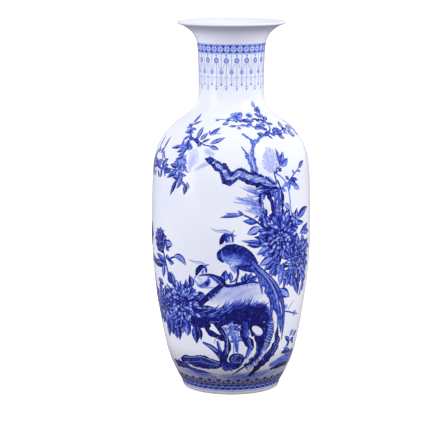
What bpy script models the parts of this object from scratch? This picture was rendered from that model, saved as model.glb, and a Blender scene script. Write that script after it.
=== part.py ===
"""A tall baluster vase in glazed porcelain, built as a potter builds one.

A vase this tall is too big to throw in one piece.  Six sections are thrown and trimmed one by one, then
luted end to end with rings of liquid clay, called slip.  Each section and each slip ring is its own solid.
The painting and the glaze are coatings, so they are not solids.

The vase stands on Z = 0 with its axis on Z.  Lengths below are in millimetres, and MM turns them into metres.
"""

import math
from collections import namedtuple

import bmesh
import bpy
import numpy as np
from mathutils import Vector

MM = 0.001
FULL_TURN = 2 * math.pi
SEGMENTS = 60
SHARP_ANGLE = math.radians(35)
SAME_POINT = 0.001  # points closer than this are one

# Driving dimensions of the whole vase.
VASE_HEIGHT = 600.0
LIP_ROUND = 2.2  # radius of the rounded lip, half the wall's thickness there

# The outer wall, from the top of the foot to the underside of the lip.  Slope is radius over height.
Station = namedtuple("Station", "height radius slope")
OUTER_WALL = (
    Station(11.0, 82.0, 0.55),  # kink between the foot and the body
    Station(40.0, 96.8, 0.44),  # haunch
    Station(80.0, 109.0, 0.2),
    Station(180.0, 124.9, 0.12),
    Station(255.0, 129.5, 0.0),  # widest point of the belly
    Station(345.0, 128.2, -0.06),
    Station(395.0, 120.4, -0.36),  # shoulder
    Station(440.0, 84.2, -1.34),
    Station(460.0, 59.2, -0.85),
    Station(478.0, 53.5, -0.08),
    Station(515.0, 53.0, 0.0),  # narrowest point of the neck
    Station(550.0, 54.0, 0.07),
    Station(578.0, 61.0, 0.6),  # flare
    Station(590.0, 74.0, 1.4),
    Station(595.8, 86.3, 2.6),  # underside of the lip
)

# Wall thickness at a few heights.  The clay is thick over the foot and thins towards the mouth.
WALL_HEIGHTS = (0.0, 60.0, 200.0, 450.0, 520.0, 595.8)
WALL_THICKNESSES = (11.0, 8.0, 6.5, 6.0, 5.0, 2 * LIP_ROUND)

# The foot is a low ring cut from the base, with the floor set up inside it.
FOOT_FACE_OUTER = 77.0
FOOT_FACE_INNER = 67.5
FOOT_EDGE_HEIGHT = 2.0
FOOT_EDGE_RADIUS = 79.0
FOOT_RECESS = 6.0
FOOT_RECESS_RADIUS = 64.5
FLOOR_TOP = 17.0
FLOOR_FILLET_RADIUS = 62.0
FLOOR_FILLET_TOP = 38.0

# Where the sections meet, and the slip between them.
JOINT_HEIGHTS = (60.0, 200.0, 345.0, 464.0, 552.0)
SLIP_THICKNESS = 1.4
FIT_GAP = 0.3

# How many facets each stretch of wall gets along its length.
SECTION_ROWS = {
    "base": 5,
    "lower_body": 4,
    "upper_body": 4,
    "shoulder": 9,
    "neck": 5,
    "mouth": 8,
}
BASE_INSIDE_ROWS = 2
FOOT_EDGE_ROWS = 2
FILLET_ROWS = 4
LIP_ROWS = 6
CURVE_SAMPLES = 400


# ---------------------------------------------------------------- wall curves


def outer_radius(height):
    """Radius of the outside at a height, a smooth cubic between neighbouring stations."""
    for low, high in zip(OUTER_WALL, OUTER_WALL[1:]):
        if height <= high.height:
            break
    span = high.height - low.height
    t = (height - low.height) / span
    rise = t * t * (3 - 2 * t)
    return (
        low.radius * (1 - rise)
        + high.radius * rise
        + span * t * (1 - t) * ((1 - t) * low.slope - t * high.slope)
    )


def outer_slope(height):
    step = 0.01
    low = max(height - step, OUTER_WALL[0].height)
    high = min(height + step, OUTER_WALL[-1].height)
    return (outer_radius(high) - outer_radius(low)) / (high - low)


def offset_from_wall(height, distance):
    """The (radius, height) point at a distance from the outside, measured square to it; inwards is positive."""
    slope = outer_slope(height)
    length = math.hypot(1, slope)
    return outer_radius(height) - distance / length, height + distance * slope / length


def wall_thickness(height):
    return float(np.interp(height, WALL_HEIGHTS, WALL_THICKNESSES))


def inner_wall_samples():
    heights = np.linspace(OUTER_WALL[0].height, OUTER_WALL[-1].height, CURVE_SAMPLES)
    points = [offset_from_wall(h, wall_thickness(h)) for h in heights]
    return np.array(points).T


INNER_RADII, INNER_HEIGHTS = inner_wall_samples()


def inner_radius(height):
    return float(np.interp(height, INNER_HEIGHTS, INNER_RADII))


def stretch(curve, start, end, rows):
    """Points along a wall curve from one height to another, evenly spaced along its length."""
    heights = np.linspace(start, end, CURVE_SAMPLES)
    radii = np.array([curve(h) for h in heights])
    lengths = np.concatenate([[0], np.cumsum(np.hypot(np.diff(heights), np.diff(radii)))])
    at = np.interp(np.linspace(0, lengths[-1], rows + 1), lengths, heights)
    return [(curve(h), float(h)) for h in at]


def arc(centre, radii, start, end, rows):
    """Points on a circle or an ellipse between two angles in degrees; 0 points outwards and 90 points up."""
    angles = [math.radians(start + (end - start) * i / rows) for i in range(rows + 1)]
    return [
        (centre[0] + radii[0] * math.cos(a), centre[1] + radii[1] * math.sin(a))
        for a in angles
    ]


# ------------------------------------------------------------------- outlines


def ring_section(low, high, rows):
    """A plain luted section: outside going up, flat top, inside going down, flat bottom."""
    return stretch(outer_radius, low, high, rows) + stretch(inner_radius, high, low, rows)


def base_section(high, rows):
    """Foot ring, recessed floor and haunch, from the axis under the floor round to the axis above it."""
    edge = arc(
        (FOOT_FACE_OUTER, FOOT_EDGE_HEIGHT),
        (FOOT_EDGE_RADIUS - FOOT_FACE_OUTER, FOOT_EDGE_HEIGHT),
        -90,
        0,
        FOOT_EDGE_ROWS,
    )
    wall = stretch(outer_radius, OUTER_WALL[0].height, high, rows)
    inside = stretch(inner_radius, high, FLOOR_FILLET_TOP, BASE_INSIDE_ROWS)
    fillet = arc(
        (FLOOR_FILLET_RADIUS, FLOOR_FILLET_TOP),
        (inner_radius(FLOOR_FILLET_TOP) - FLOOR_FILLET_RADIUS, FLOOR_FILLET_TOP - FLOOR_TOP),
        0,
        -90,
        FILLET_ROWS,
    )[1:]
    return (
        [(0.0, FOOT_RECESS), (FOOT_RECESS_RADIUS, FOOT_RECESS), (FOOT_FACE_INNER, 0.0)]
        + edge
        + wall
        + inside
        + fillet
        + [(0.0, FLOOR_TOP)]
    )


def mouth_section(low, rows):
    """The flare, closed at the top by a rounded lip that is tangent to both walls."""
    top = OUTER_WALL[-1]
    lean = math.degrees(math.atan(top.slope))
    lip_centre = offset_from_wall(top.height, LIP_ROUND)
    lip_rise = VASE_HEIGHT - (lip_centre[1] + LIP_ROUND)
    lip_centre = (lip_centre[0], lip_centre[1] + lip_rise)
    lip = arc(lip_centre, (LIP_ROUND, LIP_ROUND), -lean, 180 - lean, LIP_ROWS)
    return (
        stretch(outer_radius, low, top.height, rows)[:-1]
        + lip
        + stretch(inner_radius, float(INNER_HEIGHTS[-1]), low, rows)[1:]
    )


# --------------------------------------------------------------- scene objects


def clear_scene():
    for obj in list(bpy.data.objects):
        bpy.data.objects.remove(obj, do_unlink=True)


def finish(name, colour, roughness, coat):
    material = bpy.data.materials.new(name)
    material.use_nodes = True
    shader = material.node_tree.nodes["Principled BSDF"]
    shader.inputs["Base Color"].default_value = (*colour, 1.0)
    shader.inputs["Roughness"].default_value = roughness
    shader.inputs["Coat Weight"].default_value = coat
    return material


def revolve(name, outline, material, parent):
    """Turns a closed outline of (radius, height) points about Z into one solid, placed at its lowest height."""
    low = min(height for _, height in outline)
    shape = bmesh.new()
    points = [shape.verts.new(Vector((radius, 0, height - low)) * MM) for radius, height in outline]
    pairs = zip(points, points[1:] + points[:1])
    edges = [shape.edges.new(pair) for pair in pairs if max(end.co.x for end in pair) > 0]
    bmesh.ops.spin(
        shape,
        geom=points + edges,
        cent=(0, 0, 0),
        axis=(0, 0, 1),
        angle=FULL_TURN,
        steps=SEGMENTS,
        use_merge=True,
    )
    bmesh.ops.remove_doubles(shape, verts=shape.verts, dist=SAME_POINT * MM)
    bmesh.ops.recalc_face_normals(shape, faces=shape.faces)

    mesh = bpy.data.meshes.new(name)
    shape.to_mesh(mesh)
    shape.free()
    mesh.materials.append(material)
    mesh.shade_smooth()
    mesh.set_sharp_from_angle(angle=SHARP_ANGLE)
    obj = bpy.data.objects.new(name, mesh)
    bpy.context.scene.collection.objects.link(obj)
    obj.parent = parent
    obj.location = (0, 0, low * MM)


def build():
    clear_scene()
    vase = bpy.data.objects.new("vase_axis", None)
    bpy.context.scene.collection.objects.link(vase)
    porcelain = finish("glazed_porcelain", (0.88, 0.90, 0.95), 0.12, 0.6)
    slip = finish("luting_slip", (0.80, 0.79, 0.76), 0.55, 0.0)

    half_seam = SLIP_THICKNESS / 2 + FIT_GAP
    lows = [height + half_seam for height in JOINT_HEIGHTS]
    highs = [height - half_seam for height in JOINT_HEIGHTS]
    outlines = {"base": base_section(highs[0], SECTION_ROWS["base"])}
    for name, low, high in zip(("lower_body", "upper_body", "shoulder", "neck"), lows, highs[1:]):
        outlines[name] = ring_section(low, high, SECTION_ROWS[name])
    outlines["mouth"] = mouth_section(lows[-1], SECTION_ROWS["mouth"])

    for name, outline in outlines.items():
        revolve(name + "_section", outline, porcelain, vase)

    names = list(outlines)
    for below, above, height in zip(names, names[1:], JOINT_HEIGHTS):
        outline = ring_section(height - SLIP_THICKNESS / 2, height + SLIP_THICKNESS / 2, 1)
        revolve(f"slip_joint_{below}_to_{above}", outline, slip, vase)


build()
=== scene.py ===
"""Looks of a blue and white porcelain baluster vase: glazed walls, cobalt painting, floor, lights and camera.

Each thrown section is lathed again along the frame's own outline, with finer rings than the CAD has, and the
painting lies over the glaze as thin closed films.  Lengths are in millimetres, and MM turns them into metres.
A place on the wall is (azimuth, height): degrees from the front, -Y, towards +X, and height above the foot.
Tones run from 0 for bare glaze to 1 for the darkest cobalt.
"""

import math
import random

import bpy
import numpy as np
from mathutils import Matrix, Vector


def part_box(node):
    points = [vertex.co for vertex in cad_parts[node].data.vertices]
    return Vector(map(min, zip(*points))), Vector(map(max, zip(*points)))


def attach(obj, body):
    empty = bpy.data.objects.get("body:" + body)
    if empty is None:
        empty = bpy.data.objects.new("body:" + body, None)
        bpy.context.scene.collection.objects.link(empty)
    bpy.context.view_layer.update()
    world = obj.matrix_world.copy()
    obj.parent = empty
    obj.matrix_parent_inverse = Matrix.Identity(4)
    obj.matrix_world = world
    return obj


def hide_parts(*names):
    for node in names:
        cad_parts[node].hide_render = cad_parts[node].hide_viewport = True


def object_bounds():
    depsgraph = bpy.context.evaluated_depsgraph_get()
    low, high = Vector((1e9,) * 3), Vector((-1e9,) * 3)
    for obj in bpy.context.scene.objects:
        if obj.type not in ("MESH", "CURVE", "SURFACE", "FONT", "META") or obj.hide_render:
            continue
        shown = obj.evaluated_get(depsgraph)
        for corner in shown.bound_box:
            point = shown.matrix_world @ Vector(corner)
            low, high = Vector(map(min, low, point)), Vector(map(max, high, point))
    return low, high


MM = 0.001
BODY = "root"
SECTIONS = ("base", "lower_body", "upper_body", "shoulder", "neck", "mouth")
FOOT_EDGE = 2.0  # height where the foot's rounded edge turns into the wall
LIP_DEPTH = 5.0  # the lip's own height below the mouth's top

# ---- the wall's outline, read from the frame

TINY = 1e-5
CORNER = math.radians(50)
FACETS = 256
RING_STEP = 2.5


def section_outline(node):
    """The (radius, height) points of a turned node in order: up the outside first, or from the axis below."""
    links = {}
    points = [vertex.co for vertex in node.data.vertices]
    for edge in node.data.edges:
        ends = [points[i] for i in edge.vertices]
        if all(abs(end.y) < TINY and end.x > -TINY for end in ends):
            low, high = ((round(end.x / MM, 3), round(end.z / MM, 3)) for end in ends)
            if low != high:
                links.setdefault(low, set()).add(high)
                links.setdefault(high, set()).add(low)
    on_axis = [point for point in links if abs(point[0]) < TINY]
    start = min(on_axis or links, key=lambda point: (point[1], -point[0]))
    outline = [start]
    while True:
        onward = [point for point in links[outline[-1]] if point not in outline]
        if not onward:
            return outline
        outline.append(max(onward))


def whole_outline(outlines):
    """One outline for the whole vase, from the axis under the foot, over the lip, to the floor's middle."""
    ups, downs = [], []
    for outline in outlines[:-1]:
        top = max(height for _, height in outline)
        turn = min(i for i, point in enumerate(outline) if point[1] > top - 0.01)
        ups += outline[: turn + 1]
        downs = outline[turn + 1 :] + downs
    return np.array(ups + outlines[-1] + downs)


class Profile:
    """A fine path through outline points, rounded by cubics except at corners, as short segments.

    starts and ends are the segments' points, and leaving and arriving are the path's directions there.
    """

    def __init__(self, points, step):
        chords = np.diff(points, axis=0)
        lengths = np.hypot(*chords.T)
        directions = chords / lengths[:, None]
        turns = np.arccos(np.clip((directions[1:] * directions[:-1]).sum(1), -1, 1))
        leaving, arriving = directions.copy(), directions.copy()
        for i, turn in enumerate(turns):
            if turn < CORNER:
                tangent = directions[i] * lengths[i + 1] + directions[i + 1] * lengths[i]
                arriving[i] = leaving[i + 1] = tangent / np.hypot(*tangent)
        self.starts, self.ends, self.leaving, self.arriving = [], [], [], []
        for i, length in enumerate(lengths):
            count = 2 * math.ceil(length / step / 2)
            t = np.linspace(0, 1, count + 1)[:, None]
            rise = t * t * (3 - 2 * t)
            bulge = t * (1 - t) * length
            curve = points[i] * (1 - rise) + points[i + 1] * rise
            curve += bulge * ((1 - t) * leaving[i] - t * arriving[i])
            heading = leaving[i] * (1 - rise) + arriving[i] * rise
            self.starts += list(curve[:-1])
            self.ends += list(curve[1:])
            self.leaving += list(heading[:-1])
            self.arriving += list(heading[1:])

    def part(self, low, high, outside):
        """The segments between two heights, going up the outside or down the inside."""
        starts, ends = np.array(self.starts), np.array(self.ends)
        top = int(np.argmax(ends[:, 1])) + 1
        first, last = (0, top) if outside else (top, len(ends))
        heights = (starts if outside else ends)[first:last, 1]

        def cut(height, end, shift):
            return end if height is None else first + int(np.argmin(abs(heights - height))) + shift

        if outside:
            chosen = range(cut(low, first, 0), cut(high, last, 0))
        else:
            chosen = range(cut(high, first, 1), cut(low, last, 1))
        return [(self.starts[i], self.ends[i], self.leaving[i], self.arriving[i]) for i in chosen]

    def section(self, low, high):
        """The closed outline of the wall between two heights; None leaves that end to the foot or the lip."""
        outside, inside = self.part(low, high, True), self.part(low, high, False)
        segments = outside + inside
        if high is not None:
            segments = outside + [bridge(outside[-1][1], inside[0][0])] + inside
        if low is not None:
            segments.append(bridge(segments[-1][1], segments[0][0]))
        return segments


def bridge(start, end):
    heading = (end - start) / np.hypot(*(end - start))
    return start, end, heading, heading


class Wall:
    """The outside of the vase between the foot's edge and the lip, for placing paint on."""

    def __init__(self, profile, low, high):
        segments = profile.part(low, high, True)
        points = np.array([segments[0][0]] + [segment[1] for segment in segments])
        headings = np.array([segments[0][2]] + [segment[3] for segment in segments])
        self.radii, self.heights = points.T
        self.runs, self.rises = (headings / np.hypot(*headings.T)[:, None]).T
        self.lengths = np.concatenate([[0], np.cumsum(np.hypot(*np.diff(points, axis=0).T))])

    def length_at(self, height):
        return np.interp(height, self.heights, self.lengths)

    def radius_at(self, length):
        return np.interp(length, self.lengths, self.radii)

    def place(self, azimuths, lengths, lift):
        """Points and outward normals, in metres, for azimuths in radians and lengths along the wall."""
        run = np.interp(lengths, self.lengths, self.runs)
        rise = np.interp(lengths, self.lengths, self.rises)
        radius = self.radius_at(lengths) + lift * rise
        height = np.interp(lengths, self.lengths, self.heights) - lift * run
        sine, cosine = np.sin(azimuths), np.cos(azimuths)
        points = np.stack([radius * sine, -radius * cosine, height], -1) * MM
        return points, np.stack([rise * sine, -rise * cosine, -run], -1)


# ---- building meshes


def new_object(name, data):
    thing = bpy.data.objects.new(name, data)
    bpy.context.scene.collection.objects.link(thing)
    return thing


def mesh_piece(name, points, faces, corner_normals):
    """A smooth mesh from arrays of faces, three or four corners each, with the normal of every corner."""
    mesh = bpy.data.meshes.new(name)
    mesh.vertices.add(len(points))
    mesh.vertices.foreach_set("co", np.asarray(points, np.float32).ravel())
    corners = np.concatenate([block.ravel() for block in faces])
    sizes = np.concatenate([np.full(len(block), block.shape[1]) for block in faces])
    starts = np.concatenate([[0], np.cumsum(sizes)[:-1]])
    mesh.loops.add(len(corners))
    mesh.loops.foreach_set("vertex_index", corners.astype(np.int32))
    mesh.polygons.add(len(sizes))
    mesh.polygons.foreach_set("loop_start", starts.astype(np.int32))
    mesh.update(calc_edges=True)
    mesh.shade_smooth()
    mesh.normals_split_custom_set(corner_normals.reshape(-1, 3).tolist())
    return new_object(name, mesh)


def lathe(name, segments):
    """A turned solid from outline segments, closed or from axis to axis, shaded square to the outline."""
    angles = np.arange(FACETS) * 2 * math.pi / FACETS
    sine, cosine = np.sin(angles), np.cos(angles)
    here = np.arange(FACETS)
    there = (here + 1) % FACETS
    points, faces, normals = [], [], []

    def add_ring(point):
        """Adds a ring of points, or one point on the axis, and returns its indices."""
        first = sum(len(block) for block in points)
        radius, height = point
        if radius < TINY:
            points.append(np.array([[0, 0, height]]) * MM)
            return np.full(FACETS, first)
        points.append(np.stack([radius * sine, -radius * cosine, np.full(FACETS, height)], 1) * MM)
        return first + here

    def facing(heading, turn):
        run, rise = heading / np.hypot(*heading)
        return np.stack([rise * sine[turn], -rise * cosine[turn], np.full(FACETS, -run)], -1)

    first = low = add_ring(segments[0][0])
    closed = bool(np.hypot(*(segments[0][0] - segments[-1][1])) < TINY)
    for i, (_, end, leaving, arriving) in enumerate(segments):
        high = first if closed and i == len(segments) - 1 else add_ring(end)
        corners = [
            (low[here], leaving, here), (low[there], leaving, there), (high[there], arriving, there),
            (high[here], arriving, here),
        ]
        if low[0] == low[1]:
            corners.pop(0)
        if high[0] == high[1]:
            corners.pop()
        faces.append(np.stack([index for index, _, _ in corners], 1))
        normals.append(np.stack([facing(heading, turn) for _, heading, turn in corners], 1).reshape(-1, 3))
        low = high
    return mesh_piece(name, np.concatenate(points), faces, np.concatenate(normals))


# ---- materials


def linear(red, green, blue):
    """A colour given as 0 to 255 per channel, as the eye reads it, turned into light amounts."""
    shares = (channel / 255 for channel in (red, green, blue))
    return tuple(s / 12.92 if s <= 0.04045 else ((s + 0.055) / 1.055) ** 2.4 for s in shares) + (1.0,)


class Nodes:
    """Short calls for building the node tree of a material or a world, which ends in a shader node."""

    def __init__(self, owner, shader="Principled BSDF"):
        owner.use_nodes = True
        self.owner = owner
        self.tree = owner.node_tree
        self.shader = self.tree.nodes[shader]

    def add(self, kind, inputs=None, **settings):
        node = self.tree.nodes.new(kind)
        for key, value in settings.items():
            setattr(node, key, value)
        for key, value in (inputs or {}).items():
            self.set(node.inputs[key], value)
        return node

    def set(self, socket, value):
        if isinstance(value, bpy.types.NodeSocket):
            self.tree.links.new(value, socket)
        else:
            socket.default_value = value

    def position(self):
        return self.add("ShaderNodeTexCoord").outputs["Object"]

    def noise(self, scale, detail=3.0):
        settings = {"Vector": self.position(), "Scale": scale, "Detail": detail, "Roughness": 0.55}
        return self.add("ShaderNodeTexNoise", settings).outputs["Fac"]

    def span(self, value, low, high, to_low=0.0, to_high=1.0):
        """Maps a value between two limits onto two others, and holds it there."""
        node = self.add("ShaderNodeMapRange", {
            "Value": value, "From Min": low, "From Max": high, "To Min": to_low, "To Max": to_high,
        })
        return node.outputs["Result"]

    def math(self, operation, first, second):
        node = self.add("ShaderNodeMath", operation=operation)
        self.set(node.inputs[0], first)
        self.set(node.inputs[1], second)
        return node.outputs[0]

    def mix(self, share, first, second, blend="MIX"):
        node = self.add("ShaderNodeMix", data_type="RGBA", blend_type=blend)
        self.set(node.inputs["Factor"], share)
        self.set(node.inputs[6], first)
        self.set(node.inputs[7], second)
        return node.outputs[2]

    def ramp(self, value, stops):
        node = self.add("ShaderNodeValToRGB", {"Fac": value})
        elements = node.color_ramp.elements
        for element, (place, colour) in zip(elements, (stops[0], stops[-1])):
            element.position, element.color = place, colour
        for place, colour in stops[1:-1]:
            elements.new(place).color = colour
        return node.outputs["Color"]

    def bump(self, height, strength, distance):
        node = self.add("ShaderNodeBump", {"Height": height, "Strength": strength, "Distance": distance * MM})
        self.set(self.shader.inputs["Normal"], node.outputs["Normal"])

    def finish(self, **inputs):
        sockets = {socket.name.lower().replace(" ", "_"): socket for socket in self.shader.inputs}
        for key, value in inputs.items():
            self.set(sockets[key], value)
        return self.owner


def new_material(name):
    return Nodes(bpy.data.materials.new(name))


GLAZE_WHITE = linear(240, 243, 252)
GLAZE_COOL = linear(230, 235, 248)
# Painted shade: greys laid into the glaze above the foot, inside the mouth's flare and under the lip,
# standing in for shade and for a darker floor mirrored in the glaze.
FOOT_PAINTED_SHADE = linear(146, 138, 150)
MOUTH_PAINTED_SHADE = linear(234, 238, 246)
LIP_UNDERSIDE_PAINTED_SHADE = linear(190, 192, 204)
BARE_CLAY = linear(214, 211, 210)
CLAY_SPECK = linear(198, 194, 192)
GLAZE_LINE = 4.2  # height where the glaze stops above the foot's face
GLAZE_ROUGHNESS = (0.07, 0.13)
CLAY_ROUGHNESS = 0.7
GLAZE_SHEEN = 0.24

COBALT_STAIN = [
    (0.0, (1.0, 1.0, 1.0, 1.0)), (0.18, linear(208, 213, 246)), (0.36, linear(148, 168, 236)),
    (0.55, linear(86, 112, 214)), (0.75, linear(40, 56, 168)), (0.9, linear(20, 24, 122)),
    (1.0, linear(14, 12, 84)),
]


def glaze_colour_and_shade(nodes):
    """Bluish white porcelain, greyed by painted shade towards the foot, inside the mouth's flare and under
    the lip.
    """
    clouds = nodes.noise(9.0, detail=4.0)
    colour = nodes.mix(nodes.span(clouds, 0.35, 0.7), GLAZE_WHITE, GLAZE_COOL)
    height = nodes.add("ShaderNodeSeparateXYZ", {"Vector": nodes.position()}).outputs["Z"]
    # Painted shade and painted reflection of a darker floor: greyer from 78 mm down to 24 mm, thinning out
    # again below 20 mm.
    low = nodes.math(
        "MINIMUM", nodes.span(height, 24 * MM, 78 * MM, 0.9, 0.0), nodes.span(height, 7 * MM, 20 * MM),
    )
    colour = nodes.mix(low, colour, FOOT_PAINTED_SHADE)
    facing = nodes.add("ShaderNodeTexCoord").outputs["Normal"]
    upward = nodes.add("ShaderNodeSeparateXYZ", {"Vector": facing}).outputs["Z"]
    # Painted shade inside the mouth: where the flare's inner wall faces upwards it is greyed a little.
    flare = nodes.span(height, 555 * MM, 588 * MM)
    inside = nodes.math("MULTIPLY", flare, nodes.span(upward, 0.1, 0.5))
    # Painted shade under the lip: where the flare's outside faces downwards it is greyed.
    under = nodes.math("MULTIPLY", nodes.span(height, 576 * MM, 592 * MM), nodes.span(upward, -0.5, -0.8))
    colour = nodes.mix(inside, colour, MOUTH_PAINTED_SHADE)
    return nodes.mix(under, colour, LIP_UNDERSIDE_PAINTED_SHADE), height


def glaze_roughness(nodes):
    """Gives the surface its slight waviness, and returns the roughness that bare and painted glaze share."""
    nodes.bump(nodes.noise(22.0, detail=2.0), 0.25, 0.35)
    return nodes.span(nodes.noise(60.0), 0.3, 0.7, *GLAZE_ROUGHNESS)


def porcelain():
    """White glaze down to the glaze line, and speckled bare clay under it."""
    nodes = new_material("glazed_porcelain_finish")
    colour, height = glaze_colour_and_shade(nodes)
    wobble = nodes.span(nodes.noise(70.0), 0.3, 0.7, -0.6 * MM, 0.6 * MM)
    edge = nodes.math("ADD", height, wobble)
    glazed = nodes.span(edge, (GLAZE_LINE - 0.5) * MM, (GLAZE_LINE + 0.5) * MM)
    clay = nodes.mix(nodes.span(nodes.noise(400.0), 0.3, 0.7), BARE_CLAY, CLAY_SPECK)
    dullness = nodes.span(glazed, 0.0, 1.0, CLAY_ROUGHNESS, 0.0)
    return nodes.finish(
        base_color=nodes.mix(glazed, clay, colour),
        roughness=nodes.math("MAXIMUM", glaze_roughness(nodes), dullness), specular_ior_level=GLAZE_SHEEN,
    )


def cobalt():
    """Cobalt under glaze: the film's tone sets how much pigment there is, and noise lets it pool and thin."""
    nodes = new_material("cobalt_painting_finish")
    # The glaze under the paint carries the same painted shade towards the foot and round the lip.
    ground, _ = glaze_colour_and_shade(nodes)
    tone = nodes.add("ShaderNodeAttribute", attribute_name="tone").outputs["Fac"]
    pools = nodes.span(nodes.noise(150.0, detail=4.0), 0.25, 0.75, -0.24, 0.2)
    grain = nodes.span(nodes.noise(420.0), 0.25, 0.75, -0.2, 0.12)
    change = nodes.math("MULTIPLY", nodes.math("ADD", pools, grain), tone)
    stain = nodes.ramp(nodes.math("ADD", tone, change), COBALT_STAIN)
    return nodes.finish(
        base_color=nodes.mix(1.0, ground, stain, "MULTIPLY"), roughness=glaze_roughness(nodes),
        specular_ior_level=GLAZE_SHEEN,
    )


# ---- the paintbrush

ROOT_DEPTH = 0.08  # how far a film reaches into the glaze
FIRST_LIFT = 0.05
LEVEL_STEP = 0.018
ORDER_STEP = 0.0015
ORDER_STEPS = 9
ROW_STEP = 2.0
LEAST_WIDTH = 0.25
DEEPEST_TONE = 1.15
HAIRLINE_WIDTH, HAIRLINE = 1.6, np.array([-1.0, 1.0])
SLIM_WIDTH, SLIM = 4, np.array([-1.0, 0.0, 1.0])
BROAD_WIDTH, BROAD = 14, np.array([-1, -0.8, -0.5, -0.14, 0, 0.14, 0.5, 0.8, 1])
COLUMN_GAP = 5


def columns_for(width):
    """Where a stroke's rows have points, from its left edge at -1 to its right edge at 1."""
    if width <= HAIRLINE_WIDTH:
        return HAIRLINE
    if width <= SLIM_WIDTH:
        return SLIM
    if width <= BROAD_WIDTH:
        return BROAD
    even = np.linspace(-1, 1, 2 * math.ceil(width / COLUMN_GAP) + 1).round(2)
    return np.unique(np.concatenate([BROAD, even]))


class Brush:
    """Lays films of cobalt on the wall; turn, flip and rise move what it paints round the vase and up."""

    def __init__(self, wall):
        self.wall = wall
        self.films = {}
        self.current = None
        self.aim("")

    def aim(self, side, turn=0.0, flip=1, rise=0.0):
        """Where the brush paints from here on, and the side that its pieces are named after."""
        self.side, self.turn, self.flip, self.rise = side, turn, flip, rise

    def piece(self, name):
        """What is painted from here on belongs to this piece."""
        self.current = self.films.setdefault(f"painted_{self.side}{name}", [])

    def chart(self, places):
        """(azimuth, height) places as azimuths in degrees and lengths along the wall."""
        azimuths, heights = np.array(places, float).T
        return azimuths, self.wall.length_at(heights + self.rise)

    def spot(self, place):
        """One (azimuth, height) place as a chart place."""
        azimuths, lengths = self.chart([place])
        return azimuths[0], lengths[0]

    def near(self, spot, right, up):
        """The chart place that lies right and up of a chart place, in millimetres along the wall."""
        azimuth, length = spot
        return azimuth + math.degrees(right / self.wall.radius_at(length)), length + up

    def toward(self, spot, angle, reach, squash=1.0):
        """The chart place that lies at a reach from a chart place, in a direction in radians."""
        return self.near(spot, reach * math.cos(angle), reach * squash * math.sin(angle))

    def through(self, spots, *shape, **more):
        """A stroke through chart places, given one by one."""
        self.ribbon(tuple(zip(*spots)), *shape, **more)

    def ribbon(self, course, widths, tone, level, columns=None, loop=False, round_ends=False, ragged=0.0):
        """A stroke along a course of chart places.

        widths is one number, one for each place, or f(share of the course); tone is one number or
        f(along, across), with along from 0 to 1 and across from -1 to 1.  ragged roughens the edges, as a
        share of the width.
        """
        azimuths, lengths = (np.asarray(values, float) for values in course)
        turns = np.radians(azimuths)
        radii = self.wall.radius_at((lengths[1:] + lengths[:-1]) / 2)
        stops = np.concatenate([[0], np.cumsum(np.hypot(np.diff(turns) * radii, np.diff(lengths)))])
        rows = max(3, math.ceil(stops[-1] / ROW_STEP) + 1)
        share = np.linspace(0, 1, rows)
        if round_ends:
            share = (1 - np.cos(share * math.pi)) / 2
        path = smooth_course(stops, np.stack([turns, lengths], 1), share * stops[-1], loop)
        radius = self.wall.radius_at(path[:, 1])
        if callable(widths):
            width = widths(share)
        else:
            width = np.interp(share * stops[-1], stops, np.broadcast_to(widths, stops.shape))
        width = np.maximum(width, LEAST_WIDTH)
        if columns is None:
            columns = columns_for(width.max())
        heading = np.gradient(path, axis=0)
        heading[:, 0] *= radius
        heading /= np.hypot(*heading.T)[:, None]
        reach = columns[None, :] * width[:, None] / 2
        if ragged:
            reach *= 1 + ragged * self.roughness(rows)[:, (reach[0] > 0).astype(int)]
        places = path[:, 0, None] + heading[:, 1, None] * reach / radius[:, None]
        heights = path[:, 1, None] - heading[:, 0, None] * reach
        along, across = np.meshgrid(share, columns, indexing="ij")
        tones = tone(along, across) if callable(tone) else np.full(along.shape, float(tone))
        if loop:
            places, heights, tones = places[:-1], heights[:-1], tones[:-1]
        self.film(places, heights, np.clip(tones, 0, DEEPEST_TONE), level, loop)

    def roughness(self, rows):
        """An uneven walk for the left and right edges of a stroke, different for every film."""
        steps = np.random.default_rng(len(self.current)).normal(0, 1, (rows + 2, 2))
        return (steps[:-2] + steps[1:-1] + steps[2:]) / 2

    def film(self, turns, lengths, tones, level, loop):
        """Closes a grid of places into a thin patch whose faces carry the tones."""
        turns = math.radians(self.turn) + self.flip * turns
        if self.flip < 0:
            turns, lengths, tones = turns[:, ::-1], lengths[:, ::-1], tones[:, ::-1]
        lift = FIRST_LIFT + LEVEL_STEP * level + ORDER_STEP * (len(self.current) % ORDER_STEPS)
        front, normals = self.wall.place(turns, lengths, lift)
        back, _ = self.wall.place(turns, lengths, -ROOT_DEPTH)
        grid = np.arange(turns.size).reshape(turns.shape)
        if loop:
            grid = np.concatenate([grid, grid[:1]])
        under = grid + turns.size
        edges = [(grid[:, -1], under[:, -1]), (under[:, 0], grid[:, 0])]
        if not loop:
            edges += [(under[-1], grid[-1]), (grid[0], under[0])]
        quads = [patch_quads(grid), patch_quads(under[:, ::-1])]
        quads += [patch_quads(np.stack(pair, 1)) for pair in edges]
        points, normals = np.concatenate([front, back]), np.concatenate([normals, normals])
        tones = np.concatenate([tones, tones]).ravel()
        self.current.append((points.reshape(-1, 3), normals.reshape(-1, 3), tones, np.concatenate(quads)))

    def pieces(self):
        """Joins the films of each piece into one mesh object."""
        for name, films in self.films.items():
            firsts = np.cumsum([0] + [len(film[0]) for film in films[:-1]])
            points, normals, tones = (np.concatenate([film[k] for film in films]) for k in range(3))
            quads = np.concatenate([film[3] + first for film, first in zip(films, firsts)])
            piece = mesh_piece(name, points, [quads], normals[quads.ravel()])
            attribute = piece.data.attributes.new("tone", "FLOAT", "POINT")
            attribute.data.foreach_set("value", tones.astype(np.float32))
            yield piece


def patch_quads(grid):
    return np.stack([grid[:-1, :-1], grid[:-1, 1:], grid[1:, 1:], grid[1:, :-1]], -1).reshape(-1, 4)


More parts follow.
